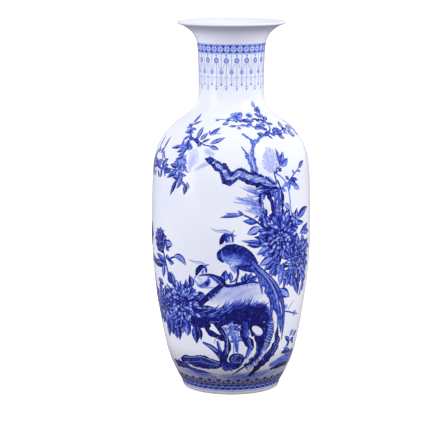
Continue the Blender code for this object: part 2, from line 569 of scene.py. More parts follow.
def smooth_course(stops, marks, places, loop):
    """A smooth curve through marks at their stops, read at places."""
    if len(marks) == 2:
        return np.stack([np.interp(places, stops, marks[:, k]) for k in (0, 1)], 1)
    slopes = np.gradient(marks, stops, axis=0)
    if loop:
        turn = marks[1] - marks[0] + marks[-1] - marks[-2]
        slopes[0] = slopes[-1] = turn / (stops[1] + stops[-1] - stops[-2])
    index = np.clip(np.searchsorted(stops, places, "right") - 1, 0, len(stops) - 2)
    span = (stops[index + 1] - stops[index])[:, None]
    t = (places - stops[index])[:, None] / span
    rise = t * t * (3 - 2 * t)
    curve = marks[index] * (1 - rise) + marks[index + 1] * rise
    return curve + span * t * (1 - t) * ((1 - t) * slopes[index] - t * slopes[index + 1])


# ---- motifs of the brush


def lens(width):
    """A width that swells from nothing and closes again."""
    return lambda share: width * np.sin(np.pi * share**0.85) + 0.25


def full_leaf(tone):
    """One half of the leaf darker than the other, streaked, with a dark rim and a pale middle vein."""

    def shade(along, across):
        rim = np.abs(across) ** 3
        vein = np.abs(across) < 0.05
        light_half = (across > 0) * (1 - rim) * (0.46 + 0.12 * np.sin(along * 26 - across * 5))
        return tone * (1.04 + 0.1 * rim - light_half - 0.35 * vein * np.sin(np.pi * along))

    return shade


def open_leaf(tone):
    """Left nearly white inside a painted outline, with a middle vein and side veins."""

    def shade(along, across):
        rim = np.clip((np.abs(across) - 0.38) / 0.34, 0, 1)
        vein = np.abs(across) < 0.05
        ribs = 0.5 + 0.5 * np.sin(along * 34 - np.abs(across) * 4)
        return 0.16 + tone * (0.95 * rim + 0.6 * vein + 0.3 * ribs * (1 - rim))

    return shade


def flat_wash(tone):
    """An even wash that is a little darker along its edges."""
    return lambda along, across: tone * (0.88 + 0.12 * np.abs(across) ** 3) + 0 * along


def shading(tone):
    """A tone given as one number becomes a flat wash."""
    return tone if callable(tone) else flat_wash(tone)


LEAF_STRENGTH = 1.05
LEAF_BREADTH = 1.08


def blade(brush, root, tip, width, tone=0.7, bow=0.0, level=4, open_inside=False):
    """One leaf from its root to its tip, both (azimuth, height); bow bends it sideways, in millimetres."""
    azimuths, lengths = brush.chart([root, tip])
    radius = brush.wall.radius_at(lengths.mean())
    across = np.radians(azimuths[1] - azimuths[0]) * radius
    up = lengths[1] - lengths[0]
    size = math.hypot(across, up)
    share = np.linspace(0, 1, 5)
    bulge = 4 * share * (1 - share) * bow
    right = share * across - bulge * up / size
    rise = share * up + bulge * across / size
    places = (azimuths[0] + np.degrees(right / radius), lengths[0] + rise)
    shade = open_leaf(tone) if open_inside else full_leaf(tone)
    brush.ribbon(places, lens(width), shade, level)


def blades(brush, rows, level=4, open_inside=False):
    """Leaves given as (root azimuth, root height, tip azimuth, tip height, width, tone, and bow if any)."""
    for azimuth, height, tip_azimuth, tip_height, width, tone, *bow in rows:
        root, tip = (azimuth, height), (tip_azimuth, tip_height)
        strength = min(tone * LEAF_STRENGTH, 1.0)
        blade(brush, root, tip, width * LEAF_BREADTH, strength, *(bow or [0]), level, open_inside)


def sprinkle(brush, places, count, size, tone, seed, level=5):
    """Small leaves scattered along a twig, to both sides of it."""
    draw = random.Random(seed)
    azimuths, lengths = brush.chart(places)
    marks = np.linspace(0, 1, len(azimuths))
    for i in range(count):
        share = (i + draw.random()) / count
        spot = (np.interp(share, marks, azimuths), np.interp(share, marks, lengths))
        radius = brush.wall.radius_at(spot[1])
        ahead = math.atan2(lengths[-1] - lengths[0], math.radians(azimuths[-1] - azimuths[0]) * radius)
        angle = ahead + draw.choice((-1, 1)) * draw.uniform(0.4, 1.3)
        reach = size * draw.uniform(0.6, 1.2)
        tip = brush.toward(spot, angle, reach)
        shade = full_leaf(tone * draw.uniform(0.6, 1.1))
        brush.through([spot, tip], lens(size * draw.uniform(0.34, 0.5)), shade, level + i % 3)


def line(brush, places, width, tone, level=5):
    """A stroke with a steady or changing width through (azimuth, height) places."""
    brush.ribbon(brush.chart(places), width, shading(tone), level)


def stroke(brush, rows, tone, level=5, ragged=0.0):
    """A stroke through (azimuth, height, width) places."""
    rows = np.array(rows, float)
    brush.ribbon(brush.chart(rows[:, :2]), rows[:, 2], shading(tone), level, ragged=ragged)


def round_width(width, least=0.15):
    """Widths that make a stroke round from end to end."""
    return lambda share: width * np.sqrt(np.clip(1 - (2 * share - 1) ** 2, 0, 1)) + least


def dot(brush, spot, radius, tone, level, squash=1.0):
    """A round dot at a chart place."""
    ends = [brush.near(spot, 0, -radius * squash), brush.near(spot, 0, radius * squash)]
    brush.through(ends, round_width(2 * radius), tone, level, round_ends=True)


def disc(brush, at, radius, tone, level=5, squash=1.0):
    """A round dot at (azimuth, height)."""
    dot(brush, brush.spot(at), radius, shading(tone), level, squash)


RING_TURN = 24  # degrees between the places along a ring


def ring(brush, at, radius, width, tone, level=6, squash=1.0, sweep=360.0, start=0.0):
    """A drawn circle or an arc of one, at (azimuth, height)."""
    turns = np.radians(start + np.linspace(0, sweep, max(6, int(sweep / RING_TURN)) + 1))
    centre = brush.spot(at)
    brush.through([brush.toward(centre, turn, radius, squash) for turn in turns], width, tone, level)


PETAL_COLUMNS = np.array([-1, -0.6, 0, 0.6, 1])


def petal(brush, centre, angle, inner, outer, width, light, dark, level, pointed=False, bend=0.0):
    """A petal that points away from a chart centre: dark at its base, light towards its lip, dark edges."""
    bends = ((inner, 0), ((inner + outer) / 2, bend), (outer, 0))
    spots = [brush.toward(centre, angle + turn, far) for far, turn in bends]

    def shade(along, across):
        base = np.clip(1 - along / 0.62, 0, 1)
        rim = np.clip((np.abs(across) - 0.4) / 0.5, 0, 1)
        lip = np.clip((along - 0.88) / 0.12, 0, 1)
        return light + (dark - light) * np.maximum(base, np.maximum(rim, 0.7 * lip))

    def breadth(share):
        if pointed:
            return width * np.sin(np.pi * share**1.3) ** 0.7
        return width * (1 - np.abs(2 * share**1.5 - 1) ** 2.4) ** 0.6

    brush.through(spots, breadth, shade, level, PETAL_COLUMNS, round_ends=True)


def oval(angle, squash):
    """How far the edge of an oval lies in a direction, for one that reaches 1 sideways and squash upwards."""
    return 1 / math.hypot(math.cos(angle), math.sin(angle) / squash)


# Rings of petals from outside in: reach, number, length and width as shares of the flower's radius, pointed.
PEONY_RINGS = (
    (1.14, 21, 0.48, 0.2, True), (0.98, 19, 0.42, 0.2, True), (0.82, 17, 0.36, 0.2, False),
    (0.66, 15, 0.3, 0.19, False), (0.5, 13, 0.22, 0.17, False), (0.37, 10, 0.17, 0.16, False),
    (0.25, 7, 0.15, 0.14, False), (0.13, 4, 0.12, 0.12, False),
)


PEONY_SQUASH = 0.92


def peony(brush, at, radius, seed, level=6, light=0.04, dark=1.06):
    """A full peony: long outer petals round a cup of small ones, all parted by their dark edges."""
    draw = random.Random(seed)
    centre = brush.spot(at)
    disc(brush, at, radius * 0.9, 1.08, level, PEONY_SQUASH)
    for reach, count, size, width, pointed in PEONY_RINGS:
        for i in range(count):
            angle = 2 * math.pi * (i + reach * 7 + draw.uniform(-0.5, 0.5)) / count
            outer = radius * reach * oval(angle, PEONY_SQUASH) * draw.uniform(0.8, 1.14)
            inner = max(outer - radius * size * draw.uniform(0.8, 1.2), 0.4)
            tint = light + draw.choice((0.0, 0.12, 0.34, 0.66))
            breadth = radius * width * draw.uniform(0.7, 1.25)
            bend = draw.uniform(-0.14, 0.14)
            petal(brush, centre, angle, inner, outer, breadth, tint, dark, level + 1 + i % 4, pointed, bend)
        level += 4
    turns = np.radians(np.linspace(200, 335, 9))
    cup = [brush.toward(centre, turn, radius * 0.53, PEONY_SQUASH) for turn in turns]
    brush.through(cup, lambda share: radius * 0.06 * np.sin(np.pi * share) + 0.2, dark, level + 1)


def collar(brush, at, radius, count, seed, level=2, start=0.0, sweep=360.0, width=11.0):
    """Leaves that spread out from behind a flower, between two directions in degrees."""
    draw = random.Random(seed)
    centre = brush.spot(at)
    near = radius * 0.5
    for i in range(count):
        angle = math.radians(start + sweep * (i + draw.uniform(-0.3, 0.3)) / count)
        far = radius * draw.uniform(1.1, 1.42)
        bow = draw.uniform(-0.14, 0.14)
        marks = ((near, 0), (0.5 * (near + far), bow), (far, 0))
        spots = [brush.toward(centre, angle + turn, reach) for reach, turn in marks]
        shade = full_leaf(draw.uniform(0.82, 1.08))
        brush.through(spots, lens(width * draw.uniform(0.7, 1.1)), shade, level + i % 3)


BLOSSOM_PETALS = 6


def blossom(brush, at, radius, tone=0.85, level=7, turn=0.0, light=0.15):
    """A small open flower: two rings of petals round a dark heart."""
    centre = brush.spot(at)
    for i in range(BLOSSOM_PETALS):
        angle = turn + 2 * math.pi * i / BLOSSOM_PETALS
        petal(brush, centre, angle, radius * 0.1, radius, radius * 0.62, light, tone, level + i % 2)
    for i in range(BLOSSOM_PETALS - 2):
        angle = turn + 0.5 + 2 * math.pi * i / (BLOSSOM_PETALS - 2)
        petal(brush, centre, angle, 0.3, radius * 0.5, radius * 0.36, light, tone, level + 2 + i % 2)
    dot(brush, centre, radius * 0.16, min(tone + 0.15, 1.0), level + 4)


BLOOM_SQUASH = 1.3


def pale_bloom(brush, at, radius, tone):
    """A large flower in the thinnest wash, drawn as faint, ragged rings of petals."""
    draw = random.Random(17)
    centre = brush.spot(at)
    disc(brush, at, radius * 1.05, soft(tone), 3, BLOOM_SQUASH)
    for step, share in enumerate((1.06, 0.86, 0.66, 0.46, 0.27)):
        count = 15 - 2 * step
        for i in range(count):
            angle = 2 * math.pi * (i + 0.5 * step + draw.uniform(-0.3, 0.3)) / count
            outer = radius * share * oval(angle, BLOOM_SQUASH) * draw.uniform(0.88, 1.1)
            breadth = 6.4 * outer / count
            light, dark = tone * draw.uniform(0.2, 0.8), tone * draw.uniform(1.2, 2.0)
            petal(brush, centre, angle, outer * 0.55, outer, breadth, light, dark, 4 + step)


def feather(tone):
    """A long tail feather: dark edges and shaft with cross bars between."""

    def shade(along, across):
        rim = np.clip((np.abs(across) - 0.6) / 0.3, 0, 1)
        shaft = np.abs(across) < 0.05
        bars = 0.5 + 0.5 * np.sin(along * 70)
        return tone * (0.62 + 0.45 * rim + 0.35 * shaft + 0.12 * bars)

    return shade


def mottled(tone, seed=0.0, depth=0.14):
    """Dense pigment broken by lighter veins."""

    def shade(along, across):
        waves = np.sin(along * 19 + across * 5 + seed) * np.sin(along * 31 - across * 4 + 2 * seed)
        return tone - depth * np.clip(waves, 0, 1) + 0.04 * np.abs(across)

    return shade


def soft(tone, seed=0.0):
    """A streaky wash that fades out towards its edges and ends."""

    def shade(along, across):
        fade = (1 - across**2) * np.sin(np.pi * along) ** 0.5
        return tone * fade * (1 + 0.2 * np.sin(along * 23 + across * 9 + seed))

    return shade


def haze(along, across):
    """The thinnest wash, a little deeper in the middle."""
    return 0.1 + 0.14 * (1 - across**2) * np.sin(np.pi * along)


def plumage(along, across):
    """A folded back: darkest along its top, fading in rows of feathers to a pale, outlined belly."""
    down = (across + 1) / 2
    rows = 0.5 + 0.5 * np.sin(along * 60 + across * 9)
    belly = np.clip((down - 0.27) / 0.5, 0, 1) * np.clip(1 - (along - 0.38) ** 2 / 0.2, 0, 1) ** 0.7
    tone = 1.02 - 0.8 * belly * (1 - 0.35 * rows) - 0.14 * rows * down
    return np.maximum(tone, 0.6 * np.clip((across - 0.86) / 0.14, 0, 1))


def hatch(brush, places, reach, lean, gap, tone, seed, level=6, width=2.0):
    """Short tapering strokes off a line; lean is their direction in degrees, at the line's start and end."""
    draw = random.Random(seed)
    azimuths, lengths = brush.chart(places)
    radius = brush.wall.radius_at(lengths.mean())
    across = np.radians(azimuths) * radius
    stops = np.concatenate([[0], np.cumsum(np.hypot(np.diff(across), np.diff(lengths)))])
    for i in range(int(stops[-1] / gap)):
        along = (i + draw.random()) * gap
        share = along / stops[-1]
        spot = (np.interp(along, stops, azimuths), np.interp(along, stops, lengths))
        angle = math.radians(lean[0] + (lean[1] - lean[0]) * share + draw.uniform(-12, 12))
        size = reach * draw.uniform(0.45, 1.15)
        root, tip = brush.toward(spot, angle, -0.45 * size), brush.toward(spot, angle, size)
        sway = draw.uniform(-0.12, 0.12) * size
        right, up = 0.3 * size * math.cos(angle) - sway * math.sin(angle), 0.3 * size * math.sin(angle)
        strength = tone * draw.uniform(0.75, 1.1)
        brush.through(
            [root, brush.near(spot, right, up), tip],
            lambda share: width * (1 - share) ** 0.6,
            lambda along, across: strength * (1 - 0.6 * along**2) + 0 * across,
            level + i % 3,
            SLIM,
        )


def needles(brush, at, start, sweep, count, reach, tone, seed, level=4):
    """A fan of thin needles from one place, between two directions in degrees."""
    draw = random.Random(seed)
    hub = brush.spot(at)
    for i in range(count):
        angle = math.radians(start + sweep * i / (count - 1) + draw.uniform(-3, 3))
        size = reach * draw.uniform(0.7, 1.05)
        ends = [brush.toward(hub, angle, 4), brush.toward(hub, angle, size)]
        strength = tone * draw.uniform(0.7, 1.15)
        brush.through(ends, lambda share: 1.5 * (1 - 0.7 * share), strength, level, SLIM)


# ---- neck and foot

FULL_TURN = 360.0
LATTICE_CELLS = 32
LATTICE_HEIGHT = 557.9
NET_BEADS = 20
LAPPETS = 36
FRET_CELLS = 52
HOOP_POINTS = 145
HOOP_COLUMNS = np.linspace(-1, 1, 7)


def hoop(brush, height, width, tone, level):
    """A plain band all the way round."""
    azimuths = np.linspace(0, FULL_TURN, HOOP_POINTS)
    lengths = np.full(HOOP_POINTS, brush.wall.length_at(height))
    brush.ribbon((azimuths, lengths), width, flat_wash(tone), level, HOOP_COLUMNS, loop=True)


def neck_lattice(brush):
    """Two hoops with a row of diamonds between them, and dark triangles in the gaps."""
    brush.piece("neck_lattice")
    hoop(brush, 557.8, 16.6, 0.3, 0)
    hoop(brush, LATTICE_HEIGHT, 11.2, 0.4, 1)
    pitch = FULL_TURN / LATTICE_CELLS
    for i in range(LATTICE_CELLS):
        middle = -2.0 + i * pitch
        for height, tip in ((563.9, 559.0), (551.7, 556.8)):
            triangle = brush.chart([(middle, height), (middle, tip)])
            brush.ribbon(triangle, lambda share: 7.4 * (1 - share) ** 0.8 + 0.3, 0.7, 6, SLIM)
        for lean in (-1, 1):
            rises = [(share, LATTICE_HEIGHT + lean * (share * 9.6 - 4.8)) for share in (0, 0.5, 1)]
            line(brush, [(middle + share * pitch, height) for share, height in rises], 1.7, 0.06, 4 + lean)
        for radius, tone, level in ((2.6, 0.3, 7), (1.3, 0.62, 8)):
            disc(brush, (middle + pitch / 2, LATTICE_HEIGHT), radius, tone, level)


def neck_net(brush):
    """A net of beads and strings hanging below the lattice, with a drop at the end of each string."""
    brush.piece("neck_net")
    pitch = FULL_TURN / NET_BEADS
    for i in range(NET_BEADS):
        big = 9.4 + i * pitch
        small = big + pitch / 2
        line(brush, [(big, 549.5), (big, 543)], 1.3, 0.36)
        line(brush, [(big - 1.6, 547.5), (big + 1.6, 547.5)], 1.4, 0.5, 6)
        disc(brush, (big, 539.5), 3.9, 0.4, 5)
        ring(brush, (big, 539.5), 3.7, 1.2, 0.55, 6)
        disc(brush, (big, 539.5), 1.6, 0.22, 8)
        line(brush, [(big, 535.5), (big, 513)], 1.0, 0.3)
        for side in (-1, 1):
            edge = big + side * 2.6
            line(brush, [
                (edge, 536), (edge + side * 3.2, 528), (big + side * (pitch / 2 - 0.6), 524),
            ], 1.0, 0.3)
            disc(brush, (big + side * 2.4, 512.2), 1.5, 0.3, 6, 0.8)
            disc(brush, (big + side * 2.2, 498.3), 1.2, 0.28, 6, 0.9)
        disc(brush, (big, 513.2), 1.2, 0.3, 7)
        line(brush, [(big, 511), (big, 496)], 1.0, 0.32)
        disc(brush, (big, 494.2), 1.5, 0.42, 6, 1.4)
        line(brush, [(small, 549.5), (small, 525)], 1.0, 0.32)
        disc(brush, (small, 546.8), 1.0, 0.35, 6)
        disc(brush, (small, 521.0), 3.6, 0.42, 5)
        disc(brush, (small, 521.6), 1.7, 0.3, 7)
        line(brush, [(small, 517.5), (small, 503)], 1.0, 0.34)
        disc(brush, (small, 501.3), 1.5, 0.5, 6, 1.5)
        for side in (-1, 1):
            line(brush, [(small + side * 0.4, 515), (small + side * 4.0, 507)], 0.7, 0.14)


# Height, width, tone and level, from the lappets down to the foot's edge.
FOOT_HOOPS = (
    (21.4, 1.6, 0.9, 2), (14.6, 11.4, 0.62, 0), (19.2, 2.2, 0.5, 1), (9.3, 1.2, 0.8, 2), (6.6, 2.4, 0.36, 1),
)
# Start and end in degrees past the cell's middle, height, width, tone and level.
FRET_BARS = (
    (-2.4, 2.4, 17.6, 2.2, 1.08, 4), (1.2, 5.4, 11.2, 2.4, 1.05, 4), (0.4, 4.8, 14.2, 2.0, 0.34, 3),
    (2.9, 4.0, 17.6, 1.6, 0.3, 3), (-1.2, 0.4, 11.2, 1.6, 0.34, 3),
)


def foot_border(brush):
    """Lappets over a keyed band, between dark hoops, and a light hoop over the foot's edge."""
    brush.piece("foot_border")
    for height, width, tone, level in FOOT_HOOPS:
        hoop(brush, height, width, tone, level)
    pitch = FULL_TURN / LAPPETS
    for i in range(LAPPETS):
        middle = -2.6 + i * pitch
        stroke(brush, [(middle - 2.5, 26.0, 3), (middle, 26.8, 5.6), (middle + 2.5, 26.0, 3)], 0.84, 3)
        line(brush, [(middle, 25.0), (middle, 22.4)], [3.4, 2.0], 0.6, 3)
        line(brush, [(middle + pitch / 2, 26.2), (middle + pitch / 2, 21.6)], [0.6, 4.6], 1.05, 4)
        for side in (-1, 1):
            arch = [(middle + side * 4.4, 27.6), (middle + side * 3.4, 24.6), (middle + side * 1.4, 23.0)]
            line(brush, arch, 1.3, 0.5, 2)
    pitch = FULL_TURN / FRET_CELLS
    for i in range(FRET_CELLS):
        middle = 1.0 + i * pitch
        for start, end, height, width, tone, level in FRET_BARS:
            line(brush, [(middle + start, height), (middle + end, height)], width, tone, level)


# ---- the painted garden


def upper_left_spray(brush):
    brush.piece("upper_left_spray")
    stems = (
        [
            (-45.5, 438), (-42, 428), (-37.5, 421), (-36.5, 415), (-37, 403), (-39, 393), (-36.5, 382),
            (-35.5, 374),
        ],
        [(-36, 419), (-31, 418), (-27, 415), (-21.5, 411), (-17, 410)],
        [(-35.5, 374), (-41, 370), (-49, 370), (-59, 372)],
        [(-66, 398), (-64.5, 390), (-61, 381), (-59.5, 371), (-62.5, 360)],
        [(-39, 370), (-41, 362), (-41.5, 356)],
    )
    for places in stems:
        line(brush, places, 2.2, 0.78)
    line(brush, [(-38, 414), (-39.4, 402), (-40, 390), (-38, 378)], [3, 5, 5, 3], mottled(0.5, 1.0, 0.3), 3)
    line(brush, [(-15, 448), (-10, 448), (-4, 447)], 1.6, 0.6)
    line(brush, [(-17, 427), (-13, 428), (-10, 428)], 1.6, 0.5)
    blades(brush, [
        (-45.5, 440, -47, 455, 5, 0.75), (-44.5, 438, -36.5, 445, 5, 0.75), (-44, 437, -51, 439, 6, 0.8),
        (-44, 428, -37.5, 433, 5, 0.8), (-43, 425, -42, 431, 5, 0.85), (-19, 425, -10.5, 437, 7, 0.7, 1),
        (-18.5, 426, -21.5, 432, 4, 0.6), (-17.5, 410, -9.5, 405, 7, 0.6), (-27, 415, -35, 420, 6, 0.95),
        (-27, 414, -31.5, 417, 6, 0.9), (-41, 408, -54, 402, 6, 0.8), (-38, 404, -46.5, 397, 6, 0.8),
        (-42, 406, -43.5, 417, 5, 0.75), (-36.5, 416, -39.5, 427, 5, 0.7), (-34, 412, -39, 400, 8, 0.8),
        (-36, 415, -41.5, 406, 6, 0.8), (-32.5, 409, -35, 401, 6, 0.75), (-41, 399, -41, 387, 6, 0.85),
        (-37, 396, -37.5, 379, 5, 0.5), (-37.5, 384, -47, 382, 7, 0.8), (-42, 375, -50.5, 377, 8, 0.9),
        (-35.5, 374, -43.5, 370, 7, 0.95), (-42, 370, -53.5, 355, 8, 0.8), (-39, 370, -38.5, 346, 8, 0.8),
        (-40, 360, -47, 357, 8, 0.8), (-42, 356, -49, 328, 7, 0.9), (-33.5, 350, -35.5, 332, 8, 0.95),
        (-33.5, 353, -31, 342, 4, 0.6), (-64.5, 397, -63.5, 418, 5, 0.8), (-64, 393, -69, 397, 5, 0.85),
        (-61.5, 380, -71, 377, 6, 0.85), (-59.5, 377, -54, 386, 6, 0.85), (-64, 353, -68, 365, 5, 0.9),
        (-59, 368, -49, 366, 6, 0.8), (-59.5, 371, -59.5, 381, 6, 0.9), (-61, 367, -74, 374, 5, 0.85),
        (-61, 364, -62.5, 353, 6, 0.9), (-58, 373, -52.5, 376, 6, 0.8), (-36.5, 373, -39, 382, 7, 0.95),
        (-36, 373, -32.5, 367, 4, 0.6), (-43, 361, -46.5, 364, 6, 0.8), (-14.5, 447, -20, 447, 6, 0.55),
        (-49, 370, -55, 362, 6, 0.85), (-66, 378, -72, 368, 6, 0.85), (-57, 371, -56, 356, 6, 0.8),
    ])
    leaves = [(-30, 420, -30, 437, 7, 0.85), (-27, 418, -22, 429, 7, 0.85), (-17.5, 413, -5, 423, 7, 0.8)]
    blades(brush, leaves, level=6, open_inside=True)
    twigs = (
        ([(-42, 428), (-38, 416)], 5), ([(-40, 412), (-38, 396), (-40, 376)], 16),
        ([(-63, 384), (-60, 366)], 7), ([(-44, 374), (-40, 358)], 7), ([(-32, 419), (-24, 414)], 5),
        ([(-65, 402), (-63, 390)], 4), ([(-46, 386), (-36, 378)], 7), ([(-40, 366), (-38, 350)], 6),
        ([(-47, 440), (-42, 428)], 5),
    )
    for i, (places, count) in enumerate(twigs):
        sprinkle(brush, places, count, 13, 0.84, 96 + i, 3)
    spray_haze(brush)


def spray_haze(brush):
    """The thinnest washes behind the spray, and a few creases in them."""
    hazes = (
        [(-31.4, 367, 3), (-31.4, 376, 9), (-30.4, 386, 15), (-29.8, 396, 15), (-30, 405, 6)],
        [(-21.6, 403, 5), (-18, 401, 12), (-12.6, 396, 8)], [(-26.6, 373, 4), (-21, 381, 7), (-14.6, 387, 8)],
    )
    for rows in hazes:
        stroke(brush, rows, haze, 2, 0.2)
    creases = (
        [(-33.6, 374), (-36.4, 384), (-35.4, 394), (-32, 400)], [(-30, 378), (-29, 388), (-29.6, 397)],
        [(-27, 381), (-25, 390), (-26.4, 398)], [(-28, 371), (-21, 377.6), (-14.6, 383)],
    )
    for places in creases:
        line(brush, places, [0.6] + [1.3] * (len(places) - 2) + [0.6], 0.22, 3)


def bough(brush):
    """The gnarled bough that crosses the shoulder, with its limbs and its trunk."""
    brush.piece("bough")
    core = mottled(0.5, 1.3, 0.44)
    stroke(brush, [
        (-16, 390, 8), (-12, 384, 11), (-8, 377.5, 12), (-5, 371, 13), (-2.5, 361, 14), (1, 360, 10),
        (4, 366, 14), (7, 368.5, 16), (11, 364.5, 14), (16, 360, 17), (22, 357, 17), (28, 352, 16),
        (34, 346, 11),
    ], core, 4, 0.12)
    dark = mottled(1.0, 0.6, 0.4)
    stroke(brush, [
        (-17, 394, 2), (-13, 389.5, 5), (-8.5, 384.5, 4.5), (-4.5, 379.5, 7.5), (-2, 373, 8), (0, 366.5, 7),
        (2.5, 371, 4.5), (6, 375.5, 5), (9.5, 373.5, 5.5), (12, 369.5, 4), (16, 368.5, 6), (20, 366, 5),
        (24, 362, 2),
    ], dark, 6, 0.4)
    stroke(brush, [
        (-18, 387, 2), (-14, 382, 5), (-11.5, 376, 5), (-7.5, 371.5, 4), (-6, 364, 5.5), (-4, 357.5, 8.5),
        (-1, 354.5, 7.5), (2, 357, 6.5), (5, 361, 4.5), (9, 359.5, 6), (12.5, 354, 8.5), (17, 352, 8.5),
        (23, 348, 4), (30, 345, 3.4), (35, 342, 4),
    ], dark, 7, 0.4)
    stroke(brush, [(25, 363, 2), (27, 359, 4), (30, 353, 5), (33, 349, 3)], mottled(0.9, 1.0, 0.4), 8)
    stroke(
        brush, [(-19.6, 391, 3), (-17, 389, 8), (-14, 385.6, 7), (-11, 381, 3)], mottled(0.94, 1.0, 0.3), 8,
    )
    line(brush, [(-9, 379), (-5, 372), (-3, 365)], [0.8, 2.0, 0.8], 0.85, 8)
    line(brush, [(4, 363), (8, 366), (12, 362)], [0.8, 2.0, 0.8], 0.8, 8)
    line(brush, [(14, 363), (19, 359), (25, 355)], [0.8, 2.4, 0.8], 0.8, 8)
    line(brush, [(18, 356), (24, 352), (30, 349)], [0.6, 1.8, 0.6], 0.9, 8)
    grain = [(-14, 387), (-8, 378), (-4, 370), (-2, 361), (2, 362), (6, 368), (12, 364), (20, 358), (30, 351)]
    hatch(brush, grain, 7, (-30, -60), 3.2, 0.6, 4, 8, 1.6)
    hatch(brush, grain, 5, (40, -10), 5.0, 0.1, 5, 9, 1.6)
    hatch(brush, [(-14, 391), (-8, 385), (-3, 379), (-1, 371)], 3, (60, 20), 3.4, 0.95, 1, 5)
    hatch(brush, [(-12, 375), (-7, 370), (-5, 357), (0, 352)], 3, (-130, -80), 3.4, 0.95, 2, 5)
    hatch(brush, [(3, 374), (7, 377), (11, 371), (22, 366)], 3, (100, 60), 3.4, 0.95, 3, 5)
    limbs(brush)
    trunk(brush)


def trunk(brush):
    """Twisted strands that rise from the bough and part at the top."""
    brush.piece("trunk")
    stroke(brush, [(17.4, 371, 12), (16, 384, 9), (14.6, 396, 9), (16.4, 406, 5)], mottled(0.28, 1.0, 0.3), 3)
    twisted = mottled(0.66, 0.4, 0.5)
    strands = (
        [
            (15.4, 369, 6), (14.6, 379, 4), (13.4, 386, 5.4), (12.4, 393, 6), (11.6, 399, 5), (9.4, 406, 3),
            (8, 410, 1),
        ],
        [
            (19, 371, 5), (18, 381, 3.4), (17.4, 389, 5), (16.6, 397, 5), (16.6, 405, 5), (18, 412, 6),
            (22, 418.4, 6),
        ],
        [(20, 415.6, 5), (25, 421, 5.4), (29, 424.6, 4), (33, 427.6, 2)],
        [(17.4, 408, 4), (17, 414, 5), (16, 419.4, 5), (14, 424, 5), (12, 426.4, 5), (9.4, 427, 3)],
    )
    for i, rows in enumerate(strands):
        stroke(brush, rows, twisted, 5 + i % 2, 0.34)
    hatch(brush, [(16, 374), (15, 388), (15, 402)], 5, (100, 80), 3.4, 0.7, 6, 7, 1.4)


def limbs(brush):
    """The limbs under the bough, which run down behind the flowers, and the foliage between them."""
    stroke(brush, [
        (32, 344, 12), (34, 334, 18), (34.6, 321, 17), (34.4, 309, 15), (33, 292, 15),
    ], mottled(0.74, 2.0, 0.44), 3, 0.16)
    strands = (
        [
            (24, 339, 4), (21, 334, 5.5), (20.6, 327, 5), (21.6, 318, 6), (23, 310, 8), (24.4, 301, 7),
            (23, 288, 5),
        ],
        [
            (24, 337, 5), (27, 336, 8), (28.6, 329, 8), (29.6, 321, 6), (30.4, 313, 6), (31, 303, 6),
            (29, 288, 6),
        ],
        [
            (34.6, 356, 2), (36.4, 348, 3), (37.6, 340, 4), (39, 330, 5), (39, 319, 5), (38.4, 307, 5),
            (36, 288, 5),
        ],
        [(17, 343, 2), (24, 344.6, 3), (33, 343, 4)],
    )
    for i, places in enumerate(([(33, 342), (34.4, 326), (34, 306)], [(37, 340), (37.4, 322), (36.6, 304)])):
        hatch(brush, places, 6, (-110, -75), 3.2, 0.95, 7 + i, 7, 2.2)
        hatch(brush, places, 4, (-80, -100), 4.4, 0.14, 9 + i, 8, 1.4)
    hatch(brush, [(22, 334), (22.6, 318), (25, 302)], 4, (-70, -100), 4.0, 0.3, 12, 8, 1.3)
    stroke(brush, [(25.4, 333, 2), (24.8, 325, 4), (26.2, 316, 4.4), (27.6, 308, 3), (28, 302, 1)], 0.03, 9)
    for i, rows in enumerate(strands):
        stroke(brush, rows, mottled(1.0, 0.9 + i, 0.34), 4 + i % 3, 0.4)
    blades(brush, [
        (32, 346, 20, 347, 5, 0.75, 1), (32, 343, 17, 338, 6, 0.8, 1), (28, 341, 14, 331, 5, 0.7, 1),
        (24, 343, 9, 349, 4, 0.3, 1), (20, 334, 6, 330, 4, 0.3, 1), (20, 328, 9, 320, 4, 0.4, 1),
        (16, 324, 1, 324, 3, 0.3, 1), (28, 342, 20, 328, 6, 0.8, 1), (31, 341, 29, 327, 5, 0.8),
        (36, 344, 43, 336, 6, 0.6), (23, 326, 12, 310, 5, 0.5, 1), (24, 314, 16, 297, 5, 0.7, 1),
        (23, 308, 19, 290, 5, 0.8), (24, 334, 17, 322, 5, 0.6),
    ], level=3)


def twig_leaves(brush, rows):
    """Small leaves on a twig, the lighter ones drawn in outline."""
    blades(brush, [row for row in rows if row[5] > 0.6])
    blades(brush, [row[:5] + (0.85,) + row[6:] for row in rows if row[5] <= 0.6], 6, open_inside=True)


